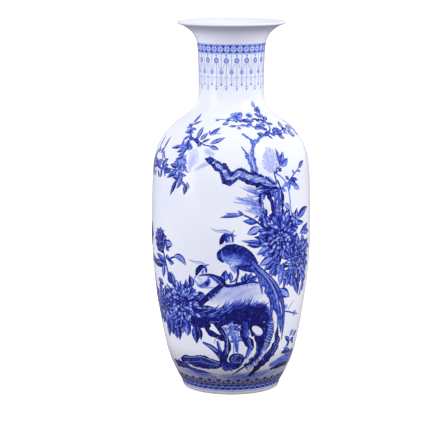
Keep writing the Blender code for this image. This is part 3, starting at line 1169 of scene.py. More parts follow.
def blossom_twigs(brush):
    brush.piece("blossom_twigs")
    line(brush, [
        (-4, 447), (5, 446), (11, 447), (17, 446), (21, 445), (26, 447), (31, 447), (46, 440),
    ], 2.4, 0.62)
    line(brush, [(6, 439), (10, 440), (16, 440), (22, 438), (30, 437)], 2.0, 0.5)
    line(brush, [(31, 423), (36, 427), (42, 434), (43, 444), (44, 452), (43, 461), (40, 468)], 2.6, 0.7)
    blade(brush, (41, 464), (37, 475), 7, 0.4, open_inside=True)
    line(brush, [(36, 427), (45, 426), (56, 429), (68, 425)], 2.6, 0.6)
    twig_leaves(brush, [
        (-1, 447, -7, 447.5, 9, 0.75), (-3, 443.5, -10, 440.5, 7, 0.5), (6, 439, -3, 438.5, 5, 0.45),
        (10, 439, 16, 440.5, 6, 0.7), (12, 452, 14, 459, 6, 0.45), (19, 446, 26, 443.5, 6, 0.8),
        (31, 447.5, 36, 445, 7, 0.8), (38, 446, 44, 441, 7, 0.8), (42, 445, 52, 450, 7, 0.5),
        (43, 440, 51, 439, 6, 0.75), (38, 458, 51, 461, 10, 0.7), (41, 452, 34, 455, 7, 0.4),
        (41, 448, 47, 454, 7, 0.55), (31, 424, 24, 428, 9, 0.75), (31, 423, 39, 431, 7, 0.85),
        (33, 432, 38, 434, 6, 0.85), (56, 429, 66, 430.5, 8, 0.85), (58, 432, 66, 441, 8, 0.5),
        (46, 424, 52, 417, 8, 0.5), (45, 433, 43, 424, 7, 0.8), (63, 424, 73, 419, 12, 0.6),
        (67, 427, 76, 434, 10, 0.6), (24, 434, 29, 436, 6, 0.7), (34, 443, 38, 438, 6, 0.4),
    ])
    sprinkle(brush, [(3, 447), (11, 446), (18, 446), (26, 447), (40, 444)], 26, 8, 0.9, 84)
    sprinkle(brush, [(14, 440), (22, 438), (30, 437), (38, 440)], 12, 8, 0.85, 85)
    sprinkle(brush, [(33, 424), (40, 428), (50, 428), (68, 425)], 14, 9, 0.85, 86)
    sprinkle(brush, [(40, 440), (42, 450), (43, 464)], 8, 8, 0.8, 87)
    blossom(brush, (6.5, 451.5), 11, 0.8, light=0.25, turn=0.3)
    blossom(brush, (25, 453), 6.5, 0.85, light=0.2)
    blossom(brush, (31, 437), 8, 0.95, light=0.3, turn=0.9)
    blossom(brush, (48, 428), 10, 0.9, light=0.3, turn=0.5)
    blossom(brush, (44, 460), 7, 0.9, light=0.35)
    ring(brush, (48, 428), 9, 1.4, 0.8, 12, 0.8)
    blossom(brush, (8, 436), 4, 0.7, light=0.3)


def pale_flower_and_leaves(brush):
    brush.piece("pale_bloom")
    pale_bloom(brush, (30.5, 388), 14.5, 0.25)
    blades(brush, [
        (38, 376, 36.6, 405, 6, 0.75, -1), (38.4, 377, 43, 399, 10, 0.66), (39, 376, 47, 388, 10, 0.6),
        (38, 377, 33.4, 372, 4, 0.6), (36, 371, 39.6, 374, 3, 0.9), (36, 370, 39.6, 370, 3, 0.85),
        (36, 370, 32, 368, 4, 0.8), (38, 376, 40, 392, 5, 1.0),
    ], level=7)
    line(brush, [(32, 369), (33, 362), (34, 350)], 2.6, 0.75)
    line(brush, [(33.5, 367), (39, 359), (43.5, 347), (46, 327), (47, 308), (48, 296)], 2.2, 0.55)
    line(brush, [(45, 350), (48, 356), (52, 362), (59, 371)], [3.4, 3.0, 2.6, 1.6], 0.7)
    blades(brush, [
        (58, 370, 68, 379, 8, 0.8, 1), (52, 362, 50, 370, 4, 0.6), (55, 366, 61, 364, 4, 0.6),
        (46, 353, 54, 342, 9, 0.75, 1), (45, 352, 46, 337, 8, 0.6), (46, 354, 42, 361, 5, 0.8),
        (47, 354, 56, 352, 7, 0.8), (45, 350, 39, 344, 6, 0.5), (50, 346, 58, 336, 9, 0.5),
    ])
    blade(brush, (41, 318), (46, 306), 9, 0.55, open_inside=True)


def middle_leaves(brush):
    brush.piece("middle_leaves")
    for i, places in enumerate(([(10, 326), (20, 316)], [(14, 340), (24, 330)], [(16, 308), (24, 298)])):
        hatch(brush, places, 20, (165, 125), 1.6, 0.66, 110 + i, 1, 3.4)
    needles(brush, (22, 299), 104, 56, 9, 36, 0.4, 11)
    needles(brush, (23, 305), 100, 44, 6, 26, 0.6, 12, 5)
    line(brush, [(21, 314), (12, 319), (2, 325)], [2.2, 2.0, 1.2], 0.3)
    line(brush, [(9, 303), (13, 299), (18, 292), (21, 286), (25, 277)], 2.8, 0.88)
    blades(brush, [
        (8, 303, -8, 299, 6, 0.7, -1.5), (9, 304, -4, 307, 5, 0.55, 1), (9, 303, 4.5, 311, 4, 0.8),
        (19, 291, 8, 294, 9, 0.72), (22, 262, 7, 263, 6, 0.68, 2), (21, 252, 11, 255.5, 8, 0.88, -1),
        (23, 275, 20, 268, 7, 0.8), (24, 264, 19, 268, 8, 0.85), (23, 255, 20, 266, 8, 0.8),
    ])
    blade(brush, (20.5, 284), (11, 273), 14, 0.7, bow=1, open_inside=True)
    blade(brush, (25, 283), (22, 301), 8, 0.85)


def right_peony(brush):
    brush.piece("right_leaves")
    collar(brush, (38, 267), 36, 26, 31, 1, width=12)
    collar(brush, (57, 226), 33, 22, 32, 1, width=12)
    blades(brush, [
        (27, 288, 24, 304, 9, 0.8), (30, 292, 30, 306, 9, 0.7), (42, 294, 43, 308, 9, 0.6),
        (27, 262, 20, 252, 9, 0.8), (28, 250, 18, 239, 10, 0.6), (29, 244, 24, 232, 9, 0.5),
        (32, 226, 24, 213, 11, 0.82), (34, 224, 28, 205, 10, 0.85), (37, 222, 36, 202, 10, 0.7),
        (40, 222, 40, 206, 9, 0.8), (52, 288, 54, 307, 11, 0.8), (54, 290, 71, 304, 13, 0.78, 2),
        (50, 284, 64, 281, 9, 0.82), (58, 264, 73, 277, 11, 0.75), (60, 268, 76, 262, 10, 0.7),
        (40, 216, 38, 184, 13, 0.6), (46, 208, 46, 182, 12, 0.72), (50, 203, 52, 178, 14, 0.72),
        (53, 194, 61, 162, 16, 0.88, 2), (60, 212, 73, 198, 13, 0.7), (62, 200, 74, 184, 12, 0.75),
        (55, 248, 72, 246, 12, 0.85), (60, 246, 78, 236, 12, 0.75),
    ], level=2)
    sprinkle(brush, [(30, 228), (38, 206), (48, 184)], 11, 15, 0.95, 113, 1)
    sprinkle(brush, [(62, 196), (66, 182), (66, 168)], 12, 15, 0.95, 114, 1)
    blade(brush, (31, 233), (20, 222), 13, 0.8, level=5, open_inside=True)
    blade(brush, (37.5, 179), (50, 163), 16, 0.8, level=5, open_inside=True)
    brush.piece("right_peonies")
    peony(brush, (57, 226), 31, 5, 6)
    peony(brush, (38, 267), 34, 3, 8)
    blossom(brush, (52, 291), 10, 0.9, level=16)
    blades(brush, [
        (36, 240, 30, 228, 9, 0.8), (40, 240, 46, 230, 10, 0.85), (33, 214, 30, 202, 7, 0.8),
        (44, 210, 41, 198, 9, 0.7), (48, 200, 46, 188, 8, 0.85),
    ], level=26)


def cock_pheasant(brush):
    brush.piece("cock_pheasant")
    stroke(brush, [
        (-9, 240, 8), (-5, 241, 25), (0, 240.5, 34), (6, 238, 34), (12, 231, 27), (18, 221, 12),
    ], plumage, 4)
    stroke(brush, [
        (-4, 254, 5), (1, 255, 7), (6.4, 250.6, 8), (11.4, 242.4, 6), (16, 233, 6),
    ], mottled(1.0, 2.0, 0.4), 6)
    stroke(brush, [
        (-7.4, 249, 2), (-8.8, 242.6, 5.5), (-8.2, 234.6, 6.6), (-5.2, 228, 3),
    ], mottled(0.94, 3.0, 0.2), 6)
    line(brush, [(-6.4, 248), (-6.4, 242), (-5, 235), (-1, 229)], [0.6, 1.3, 1.3, 0.6], 0.45, 7)
    for row in range(5):
        for i in range(7):
            place = (-5 + 2.4 * i + 1.2 * (row % 2), 248 - 3.6 * row - 0.9 * i)
            line(brush, [
                place, (place[0] + 0.9, place[1] - 1.7), (place[0] + 2.1, place[1] - 0.8),
            ], 0.9, 0.78, 8)
    stroke(brush, [(-3.6, 271, 6), (-2.6, 265, 9), (-2.2, 258.6, 7)], mottled(0.84, 1.0, 0.3), 4)
    stroke(
        brush, [(-2, 274, 4), (-4.5, 270.5, 8), (-6.2, 264, 8.5), (-7.2, 256, 5)], mottled(1.02, 0.4, 0.1), 5,
    )
    stroke(brush, [(-4, 273.5, 4), (-1, 273, 8), (1, 271.5, 6), (2.5, 270, 2)], 0.9, 6)
    stroke(brush, [(-2.6, 267, 2), (-1.4, 264, 4), (-1.2, 259.5, 4)], 0.46, 7)
    stroke(brush, [(0.8, 271, 3.4), (1.2, 265, 3.6), (0.9, 259, 2.6)], mottled(0.72, 1.0, 0.2), 7)
    stroke(brush, [(-7.8, 254.5, 3), (-4, 257.6, 3.2), (1.6, 259.2, 3)], 0.14, 8)
    line(brush, [(1.4, 271.4), (4, 270.4)], [3, 0.8], 0.6, 8)
    line(brush, [(0.3, 274), (2.4, 279.5)], [2.6, 1.0], 0.5, 8)
    disc(brush, (-0.4, 268.6), 1.3, 0.0, 10)
    disc(brush, (-0.4, 268.6), 0.6, 1.0, 11)
    stroke(
        brush, [(0, 275.5, 3), (-4, 278.4, 5.4), (-9, 278, 4.6), (-12.6, 280, 2.4), (-14, 283, 0.8)], 0.2, 7,
    )
    line(brush, [(0, 276), (-5, 279.6), (-10, 279.4), (-14, 282)], [1.0, 1.4, 1.2, 0.6], 0.42, 8)
    line(brush, [(-1, 274.6), (-6, 276), (-11, 277)], [1.0, 1.2, 0.6], 0.36, 8)
    stroke(brush, [(2, 221, 2), (6, 221.5, 6), (10, 223.5, 9), (15, 223, 11)], mottled(0.7, 0.5, 0.3), 7)
    stroke(brush, [
        (4.5, 220, 3), (9, 218.6, 10), (14, 217.6, 13), (19, 213.4, 10), (22, 207, 5),
    ], mottled(0.94, 1.0, 0.3), 8)
    stroke(brush, [(0, 224, 6), (2.4, 217, 9), (4, 210, 5)], soft(0.5), 5)
    line(brush, [(-1.4, 224), (0.4, 217), (3, 210)], [0.8, 1.6, 1.0], 0.5, 8)
    stroke(brush, [(4.5, 219, 5), (5, 211, 4), (4.6, 205, 3), (4, 198, 2.4), (3.4, 193, 3)], 0.94, 8)
    line(brush, [(4.4, 204), (2.4, 198), (-1, 195.5)], [2.2, 2.2, 2.6], 0.9, 8)
    tail(brush)


def tail(brush):
    """Four long feathers that fall past the rock."""
    feathers = (
        [(17, 216, 8), (20, 205, 6), (22, 191, 5.5), (23.5, 174, 1)],
        [(17, 221, 8), (23, 206, 8), (28, 190, 8), (31, 170, 8), (32.5, 150, 6.5), (33, 132, 1)],
        [(20, 215, 7), (29, 196, 8), (34, 176, 8), (38, 153, 6.5), (40, 130, 5), (40.5, 111, 1)],
        [
            (13, 232, 7), (19, 219, 8), (27, 203, 8), (34, 187, 8.5), (40, 167, 8), (44, 146, 7),
            (46, 122, 5), (47, 92, 1),
        ],
    )
    stroke(brush, [
        (15, 222, 9), (21, 209, 15), (26, 195, 18), (30, 181, 19), (33.5, 167, 19), (36, 155, 16),
        (39, 143, 11), (41.4, 131, 9), (43.4, 117, 6), (44.6, 104, 2),
    ], mottled(0.74, 1.0, 0.3), 22, 0.1)
    for level, rows in enumerate(feathers, 24):
        stroke(brush, rows, feather(0.98 if level % 2 else 0.86), level)
    gaps = (
        [(19, 216), (26, 201), (32, 184), (36, 166), (38, 148)], [(16, 225), (23, 211), (31, 196), (37, 178)],
        [(21, 206), (26, 192), (29, 176)],
    )
    for i, places in enumerate(gaps):
        line(brush, places, [0.8] + [1.5] * (len(places) - 2) + [0.6], 0.34 + 0.08 * i, 29)
    hatch(brush, [(36, 180), (41, 160), (44, 140)], 5, (-75, -85), 3.0, 0.9, 21, 28, 1.5)


def hen_pheasant(brush):
    brush.piece("hen_pheasant")
    stroke(brush, [(-17.5, 221.5, 3), (-21, 225, 5), (-26, 225.5, 4), (-31, 229, 1)], 0.2, 5)
    line(brush, [(-18, 223), (-22, 227), (-27, 227), (-31, 229.5)], [1.0, 1.4, 1.2, 0.6], 0.42, 6)
    line(brush, [(-18.5, 221), (-15.6, 224.5)], [3, 1.0], 0.6, 7)
    stroke(
        brush, [(-18.6, 220, 4), (-21.4, 219, 8), (-24, 213, 9), (-25.8, 204.5, 3)], mottled(1.0, 1, 0.1), 6,
    )
    stroke(brush, [(-18.4, 220, 3), (-18, 215, 4.4), (-17.8, 210, 2)], 0.86, 7)
    stroke(brush, [(-20, 217, 3), (-20.4, 211, 5), (-22, 206, 2)], soft(0.6), 4)
    stroke(brush, [(-25.5, 205, 3), (-20, 204, 16), (-15, 198, 24), (-11, 193, 14)], 0.06, 1)
    wing = [(-23.4, 204.4, 2), (-18, 206.6, 4), (-12, 204, 8), (-8, 198.4, 12), (-5, 190.6, 10)]
    stroke(brush, wing, full_leaf(0.98), 5)
    stroke(brush, [(-15, 201, 2), (-11, 197, 5), (-9, 190, 4)], soft(0.4), 4)
    stroke(
        brush, [(-25.6, 205, 2), (-27.4, 198, 2.6), (-24, 189.4, 3), (-17, 185.6, 3), (-12, 187, 1)], 0.42, 3,
    )
    stroke(brush, [
        (-16.6, 204, 4), (-16.4, 197, 10), (-18.6, 190.4, 12), (-22.6, 187.6, 8), (-26, 190, 3),
    ], soft(1.05), 3)
    stroke(brush, [(-26, 195, 5), (-22, 188, 6), (-16, 185.6, 4)], soft(0.4), 2)
    for i in range(5):
        line(brush, [(-25.4 + i, 202.4 - 3.2 * i), (-21.6 + i, 200.4 - 3.2 * i)], [1.4, 0.6], 0.4, 5)
    brush.piece("leaves_between_birds")
    blades(brush, [
        (-4, 197, -3.6, 216, 11, 0.85, 1), (-6, 197, -7, 208, 7, 0.75), (0, 197, -0.6, 213, 7, 0.75),
        (9, 196, 8, 206, 7, 0.8), (11, 196, 10.6, 211, 8, 0.8), (13, 196, 14.6, 211, 9, 0.75),
        (14, 196, 19, 206, 8, 0.85), (11, 195, 15, 203, 6, 0.9),
    ], level=5)


def rock(brush):
    """The pierced garden rock: a furred dark mass over a round white hole and a curved column."""
    rock_top(brush)
    rock_mass(brush)
    rock_fur(brush)
    rock_cores(brush)
    rock_columns(brush)
    between_columns(brush)
    boulder(brush)


def rock_top(brush):
    """The rock's pale top inside its dark outline."""
    brush.piece("rock_top")
    stroke(brush, [(-18, 161, 12), (-7, 173, 32), (4, 177, 38), (14, 178, 34), (25, 174, 20)], soft(0.25), 0)
    hatch(brush, [(-7, 188), (4, 189), (14, 193), (21, 192)], 9, (-120, -60), 1.5, 0.42, 60, 1, 2.0)
    stroke(brush, [
        (-7, 192, 3), (-3, 190, 6), (2, 190.5, 5), (6, 193, 6), (10, 195, 6), (15, 196.5, 5), (20, 193, 2),
    ], mottled(0.98, 1.0, 0.3), 5)
    stroke(brush, [
        (-5.5, 193, 7), (-8.5, 187, 9), (-12, 180, 11), (-15, 174, 11), (-20, 165, 10), (-25.5, 153, 9),
    ], mottled(0.98, 0.0, 0.26), 5)
    hatch(brush, [(-7, 184), (-12, 174), (-17, 165)], 7, (-40, -40), 2.6, 0.6, 39, 5, 1.6)


def rock_mass(brush):
    """The dark masses, and the white hole through them."""
    brush.piece("rock_shade")
    masses = (
        [
            (-30, 139, 14), (-22, 138, 13), (-14, 138, 14), (-7, 140, 20), (0, 142, 28), (7, 143, 32),
            (14, 143, 34), (21, 142, 32), (27, 136, 24), (30, 127, 15),
        ],
        [(28, 137, 20), (28.4, 124, 18), (28.6, 112, 16), (27, 100, 18)],
        [(31, 136, 10), (32.6, 121, 13), (33, 106, 15), (32, 92, 13), (29, 78, 8)],
        [(14, 128, 12), (18, 127, 14), (23, 125, 14), (28, 120, 12)],
        [(15.6, 136, 6), (14.8, 124, 5), (16.4, 114, 6), (19, 105, 8)],
        [
            (-34, 139, 8), (-30, 133, 11), (-24, 129, 15), (-17, 131, 9), (-9, 129, 16), (-1, 131, 9),
            (8, 131, 13),
        ],
        [(-30, 150, 8), (-24, 151, 12), (-17, 151, 9), (-11, 150, 6)],
        [
            (23, 107, 18), (24, 100, 18), (24.8, 92, 15), (24.6, 82, 12), (23, 71, 7), (17.4, 60, 3.4),
            (8, 47, 2.4), (1, 38, 1),
        ],
    )
    for i, rows in enumerate(masses):
        stroke(brush, rows, mottled(1.08, 0.7 * i, 0.24), 2 + i % 3, 0.1)
    hole = brush.chart([(17, 120.4), (25.8, 107.4)])
    brush.ribbon(hole, round_width(11.6, 0), 0.02, 12, round_ends=True)
    stroke(brush, [(19.4, 108, 1), (22, 106, 3), (25, 105.4, 1)], 0.3, 13)


def rock_fur(brush):
    """Short strokes all along the edges of the masses."""
    fur = (
        ([(-29, 146), (-20, 145), (-12, 144)], 14, (36, 46), 0.85, 1.5),
        ([(-24, 140), (-14, 138), (-8, 140)], 20, (44, 52), 0.95, 1.5),
        ([(-16, 147), (-8, 150), (0, 156)], 18, (48, 54), 1.0, 1.3),
        ([(-8, 141), (-3, 146), (3, 154)], 24, (50, 56), 0.98, 1.3),
        ([(-1, 154), (4, 157), (10, 158), (16, 156)], 16, (54, 60), 0.95, 1.2),
        ([(14, 156), (20, 156), (26, 152)], 13, (52, 44), 0.98, 1.1),
        ([(24, 154), (28, 147), (29, 138)], 12, (40, 14), 0.98, 1.2),
        ([(28, 144), (30, 130), (30, 116)], 12, (14, -8), 0.95, 1.2),
        ([(30, 118), (29.4, 104), (27, 90)], 15, (-8, -42), 1.05, 0.8),
        ([(27, 94), (25.4, 82), (23, 70), (17, 60)], 12, (-42, -64), 0.9, 0.9),
        ([(30, 130), (31, 112), (28, 92), (24, 74)], 18, (-12, -56), 0.55, 2.0),
        ([(24, 66), (18, 58), (12, 51)], 12, (-74, -62), 0.9, 1.7),
        ([(-24, 133), (-16, 131), (-8, 131)], 5, (215, 235), 0.8, 1.8),
    )
    for i, (places, reach, lean, tone, gap) in enumerate(fur):
        hatch(brush, places, reach, lean, gap, tone, 40 + i, 5, 2.2)


def rock_cores(brush):
    """The darkest parts, laid over the fur, and a few pale lines."""
    cores = (
        [
            (-8, 137, 6), (-1, 138, 13), (7, 141, 20), (15, 142, 24), (22, 140, 22), (28, 133, 12),
            (30, 124, 5),
        ],
        [
            (24, 107, 12), (25.4, 96, 12), (25.6, 84, 10), (24.6, 73, 7), (21, 64, 4), (14, 54, 2.4),
            (4, 41, 1.4),
        ],
        [(27, 124, 6), (29.4, 114, 6), (28.4, 104, 7), (26, 96, 4)],
        [(14.6, 133, 7), (14.6, 122, 4), (17, 112, 4), (21, 105, 5)],
        [(-30, 133, 6), (-22, 132, 9), (-14, 133, 8), (-6, 133, 6), (0, 131, 3)],
        [(-28, 145, 5), (-20, 146, 8), (-12, 146, 6), (-6, 142, 3)],
        [(-33, 127, 6), (-28, 123, 11), (-22, 123, 10), (-16, 123, 6)],
    )
    for i, rows in enumerate(cores):
        stroke(brush, rows, mottled(1.04, 0.9 * i, 0.16), 9 + i % 2, 0.2)
    pale = (
        [(-24, 143), (-18, 147), (-13, 153)], [(-18, 140), (-11, 146), (-6, 154)],
        [(-10, 139), (-4, 148), (2, 158)],
    )
    for places in pale:
        line(brush, places, [0.5, 1.4, 0.5], 0.5, 11)


def rock_columns(brush):
    """The rock's legs, with short strokes along their shaded sides."""
    brush.piece("rock_columns")
    legs = (
        [(-19.4, 124, 9), (-18.8, 116, 10), (-16, 110, 10), (-11.5, 105.6, 9), (-5.5, 101, 8)],
        [
            (-12, 129, 10), (-9.6, 121, 9), (-7.6, 114, 9), (-4.6, 103, 10), (-2.8, 92, 11), (-3.6, 81, 11),
            (-6, 70, 14),
        ],
        [(-5.6, 74, 11), (-7, 64, 13), (-5.6, 55, 11), (-3, 48, 5)],
        [
            (12, 134, 13), (10.8, 121, 14), (10.8, 109, 14), (13, 99, 15), (15.6, 91, 14), (16.4, 83, 11),
            (14.4, 74, 7), (11.6, 66, 2),
        ],
        [
            (40.4, 115, 3), (40.8, 103, 8), (41.2, 91, 14), (40, 80, 16), (36, 70, 16), (30, 58, 14),
            (23.6, 46, 11), (17.6, 34, 4),
        ],
    )
    for i, rows in enumerate(legs):
        stroke(brush, rows, mottled(1.05, 1.1 * i, 0.2), 3 + i % 3, 0.16)
    hatch(brush, [(11, 130), (11, 116), (12.6, 102), (16, 90)], 12, (-30, -64), 1.1, 0.9, 52, 4, 2.4)
    hatch(brush, [(16, 92), (16, 82), (13, 70)], 9, (-60, -80), 1.3, 0.8, 53, 4, 2.0)
    hatch(brush, [(42.5, 98), (41.5, 82), (37, 68)], 5, (-50, -60), 2.0, 0.7, 54, 4, 1.6)
    for i, places in enumerate(
        ([(40, 98), (39.4, 84), (34, 69)], [(-8, 117), (-4, 104), (-3, 88), (-5, 72)]),
    ):
        hatch(brush, places, 3, (-120, -100), 3.2, 0.72, 55 + i, 8, 1.0)


def between_columns(brush):
    """The twigs, the bamboo and the small plant seen between the legs."""
    stroke(brush, [
        (-24, 93, 3), (-20.6, 90, 6), (-17, 86.4, 8), (-13, 80, 9), (-10, 73, 9), (-8.6, 66, 6),
    ], mottled(0.84, 1, 0.2), 4)
    line(brush, [(-21, 89), (-16, 85), (-12, 79)], [0.8, 1.8, 0.8], 0.34, 6)
    stroke(brush, [(-11.4, 97, 2), (-10.4, 89, 5), (-9, 80, 6), (-8, 72, 4)], mottled(0.84, 0.0, 0.2), 4)
    line(brush, [(-14, 92), (-12.4, 100), (-10, 104)], [0.8, 1.4, 0.8], 0.5, 4)
    line(brush, [(-9, 82), (-9.4, 92), (-10, 99)], [0.8, 1.4, 0.8], 0.35, 4)
    stroke(brush, [(-3, 118, 10), (2, 112, 16), (5, 102, 12), (5, 92, 8)], soft(0.26), 1)
    stroke(brush, [(3.4, 102, 3), (4.4, 90, 5), (5, 78, 4)], mottled(0.7, 1.0, 0.2), 5)
    line(brush, [(-1, 98), (3, 96), (8, 99)], [1.5, 4, 1.5], 0.72, 6)
    bamboo = (
        [(-7, 121), (0, 124), (6, 122)], [(-6, 115), (0, 116), (7, 113)], [(-3, 105), (2, 108), (7, 104)],
    )
    for i, places in enumerate(bamboo):
        sprinkle(brush, places, 7, 12, 0.85, 90 + i, 2)
    for azimuth in (-3.4, 1.8, 5.4):
        line(brush, [
            (azimuth, 122), (azimuth + 0.4, 104), (azimuth + 0.6, 90), (azimuth + 0.4, 76),
        ], 1.9, 0.5, 4)
    line(brush, [(-2, 96.5), (3, 95), (8, 97.5)], [1.0, 2.4, 1.0], 0.6, 4)


def boulder(brush):
    """The round boulder in front, with arcs drawn on it, and the ground it lies on."""
    disc(brush, (5, 66), 12.8, mottled(0.95, 1.0, 0.3), 6, 0.84)
    stroke(brush, [(-1.4, 68, 1), (1.6, 73.6, 3), (7, 74, 3), (10.4, 69, 3), (9.4, 61, 2)], 1.05, 8)
    for i, radius in enumerate((9, 6.4, 3.8)):
        ring(brush, (5.6 + 0.6 * i, 65.6 - i), radius, 1.3, 0.5, 9, 0.84, 230, 20 + 70 * i)
    stroke(brush, [
        (-11, 60, 6), (-6, 56, 12), (0, 54.6, 13), (6, 55, 11), (10, 58, 5),
    ], mottled(0.98, 2.0, 0.3), 5, 0.2)
    stroke(brush, [(-8, 50, 3), (-4, 47, 7), (1, 48.6, 6)], mottled(0.9, 1.0, 0.4), 4, 0.4)
    hatch(brush, [(-9, 55), (-4, 49), (2, 50)], 6, (-120, -60), 1.8, 0.8, 57, 5, 1.8)


def left_peony(brush):
    brush.piece("left_leaves")
    collar(brush, (-40, 152), 35, 24, 33, 1, width=12)
    collar(brush, (-61, 150), 27, 14, 34, 1, width=11)
    collar(brush, (-61.5, 253), 17, 9, 35, 3, 180, 200, 9)
    line(brush, [(-58, 240), (-56, 226), (-54, 212), (-52, 198), (-50, 184)], 4.0, 0.92)
    line(brush, [(-52, 222), (-48, 227), (-43, 231)], 3.2, 0.85)
    blades(brush, [
        (-27, 120, -25, 96, 10, 0.85), (-37, 120, -38, 100, 13, 0.7), (-42, 120, -43, 103, 10, 0.55),
        (-54, 122, -57, 96, 14, 0.9), (-58, 128, -66, 112, 13, 0.72), (-50, 132, -62, 118, 14, 0.85),
        (-60, 118, -64, 90, 13, 0.9), (-52, 112, -51.5, 91, 12, 0.85), (-47, 183, -49, 205, 13, 0.78),
        (-52, 184, -51, 200, 10, 0.75), (-25, 178, -19, 169, 8, 0.65), (-26, 164, -20, 172, 8, 0.6),
        (-52, 222, -53, 232, 9, 0.88), (-51, 221, -45, 219, 8, 0.8), (-54, 214, -80, 212, 12, 0.92),
        (-54, 218, -69, 228, 10, 0.82), (-57, 214, -60, 191, 11, 0.7), (-53, 204, -50, 192, 9, 0.85),
        (-60, 180, -70, 186, 10, 0.8), (-30, 134, -24, 122, 12, 0.9), (-33, 132, -29, 118, 12, 0.95),
        (-45, 128, -52, 112, 13, 0.92), (-60, 140, -70, 132, 12, 0.8), (-64, 134, -72, 110, 14, 0.95),
        (-70, 138, -80, 120, 14, 0.95), (-72, 134, -78, 112, 14, 0.95), (-60, 126, -64, 104, 13, 0.9),
    ], level=2)
    blades(brush, [
        (-30, 120, -29.5, 89, 13, 0.95), (-47, 118, -48, 90, 13, 0.95), (-30, 184, -31.4, 204, 10, 0.9, -1.5),
    ], level=6)
    blade(brush, (-45, 231), (-34, 218), 11, 0.85, bow=6, level=6, open_inside=True)
    sprinkle(brush, [(-72, 134), (-62, 130), (-54, 124), (-44, 122), (-34, 126)], 24, 15, 1.0, 94, 1)
    brush.piece("left_peonies")
    peony(brush, (-61, 150), 27, 9, 6, dark=1.12)
    peony(brush, (-39.5, 158), 34, 7, 8, dark=1.12)
    peony(brush, (-61.5, 254), 19, 13, 8, light=0.2)
    hatch(brush, [(-50, 162), (-44, 153), (-38, 146)], 8, (-60, -50), 2.0, 1.05, 61, 30, 1.5)
    blade(brush, (-54, 250), (-46, 249), 14, 0.8, level=7, open_inside=True)
    blades(brush, [
        (-57, 240, -61, 232, 9, 0.98), (-60, 236, -66, 240, 8, 0.95), (-54, 244, -50, 238, 7, 0.9),
    ], level=20)


def ground(brush):
    """Banks under the garden, and the small plants on the right one."""
    brush.piece("ground")
    stroke(brush, [
        (-60, 37, 6), (-36, 34, 14), (-8, 33, 16), (16, 34, 18), (38, 35, 18), (62, 40, 8),
    ], soft(0.4), 0)
    stroke(brush, [(-14, 35, 8), (2, 34, 18), (16, 34, 20), (30, 36, 18), (46, 42, 10)], soft(0.5, 2.0), 1)
    mound = [
        (-52, 55, 5), (-44, 59, 14), (-36, 57, 19), (-27.5, 59, 25), (-20, 56, 22), (-13, 56, 16),
        (-7, 56, 8),
    ]
    stroke(brush, mound, mottled(0.98, 1.0, 0.12), 3, 0.08)
    for i, drop in enumerate((0, 4, 8, 12)):
        grain = [(-46, 62 - drop), (-36, 64 - drop), (-27, 68 - drop), (-18, 64 - drop), (-10, 58 - drop / 2)]
        hatch(brush, grain, 3.4, (-175, -150), 1.7, (0.5, 1.1, 0.62, 1.1)[i], 74 + i, 7, 1.4)
    stroke(brush, [(-66, 46, 8), (-57, 48, 11), (-50, 49, 9), (-44, 50, 6)], mottled(0.82, 2.0, 0.3), 2, 0.3)
    stroke(brush, [(-52, 47, 3), (-42, 44, 7), (-34, 41.6, 6), (-26, 40, 4.4), (-19, 38.6, 2)], 0.86, 5, 0.2)
    stroke(brush, [(-50, 41, 3), (-36, 37, 6), (-24, 35, 6), (-14, 36, 3)], soft(0.6), 2)
    stroke(brush, [(-64, 42, 6), (-56, 45, 10), (-49, 46, 9), (-42, 46, 4)], mottled(1.02, 1.0, 0.3), 4, 0.3)
    stroke(brush, [(40, 42, 3), (47, 44, 8), (56, 45, 9), (68, 43, 7)], mottled(1.0, 1.0, 0.1), 4, 0.2)
    stroke(brush, [(38, 50, 6), (47, 52, 14), (60, 53, 18), (74, 52, 16)], mottled(0.56, 2.0, 0.3), 2, 0.1)
    stroke(brush, [(50, 68, 5), (58, 67, 9), (66, 65, 9), (74, 63, 6)], mottled(0.85), 3, 0.3)
    hatch(brush, [(46, 58), (56, 62), (70, 60)], 5, (70, 50), 2.2, 0.6, 73)
    blades(brush, [
        (60, 84, 51, 96, 8, 0.88), (60, 84, 55, 76, 7, 0.92), (60, 86, 68, 87, 6, 0.8),
        (58, 94, 64, 103, 9, 0.55), (62, 90, 68, 78, 8, 0.8), (62, 67, 52, 76, 7, 0.82),
        (64, 92, 72, 98, 8, 0.7),
    ])
    line(brush, [(44, 140), (50, 138), (56, 134), (67, 128)], [2.0, 2.8, 2.6, 1.6], 0.8)
    line(brush, [(50, 142), (53, 149), (57, 154)], [2.0, 1.6, 1.0], 0.45)
    blossom(brush, (60, 132), 5.5, 0.6, light=0.35)
    blossom(brush, (47, 147), 5, 0.45, light=0.2)


def front(brush):
    for paint in (
        upper_left_spray, bough, blossom_twigs, pale_flower_and_leaves, middle_leaves, right_peony,
        left_peony, ground, rock, hen_pheasant, cock_pheasant,
    ):
        paint(brush)


# Side, turn in degrees, flip, rise and what is painted there again.  The garden goes on round both sides, and
# the calmer back has an old bough over a second rock, with peonies between them.
SIDES_AND_BACK = (
    ("right_", 150, -1, 0, blossom_twigs), ("right_", 160, -1, 6, pale_flower_and_leaves),
    ("right_", 165, -1, -14, right_peony), ("right_", 150, 1, 0, ground),
    ("left_", -139, -1, 0, upper_left_spray), ("left_", -147, -1, 4, left_peony),
    ("left_", -150, -1, 0, ground), ("back_", 176, 1, 4, bough), ("back_", 176, 1, 4, middle_leaves),
    ("back_", 168, 1, 0, blossom_twigs), ("back_", 232, 1, 48, left_peony), ("back_", 184, -1, -6, rock),
)


# ---- the vase and its studio


def dress(piece, material):
    piece.data.materials.append(material)
    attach(piece, BODY)


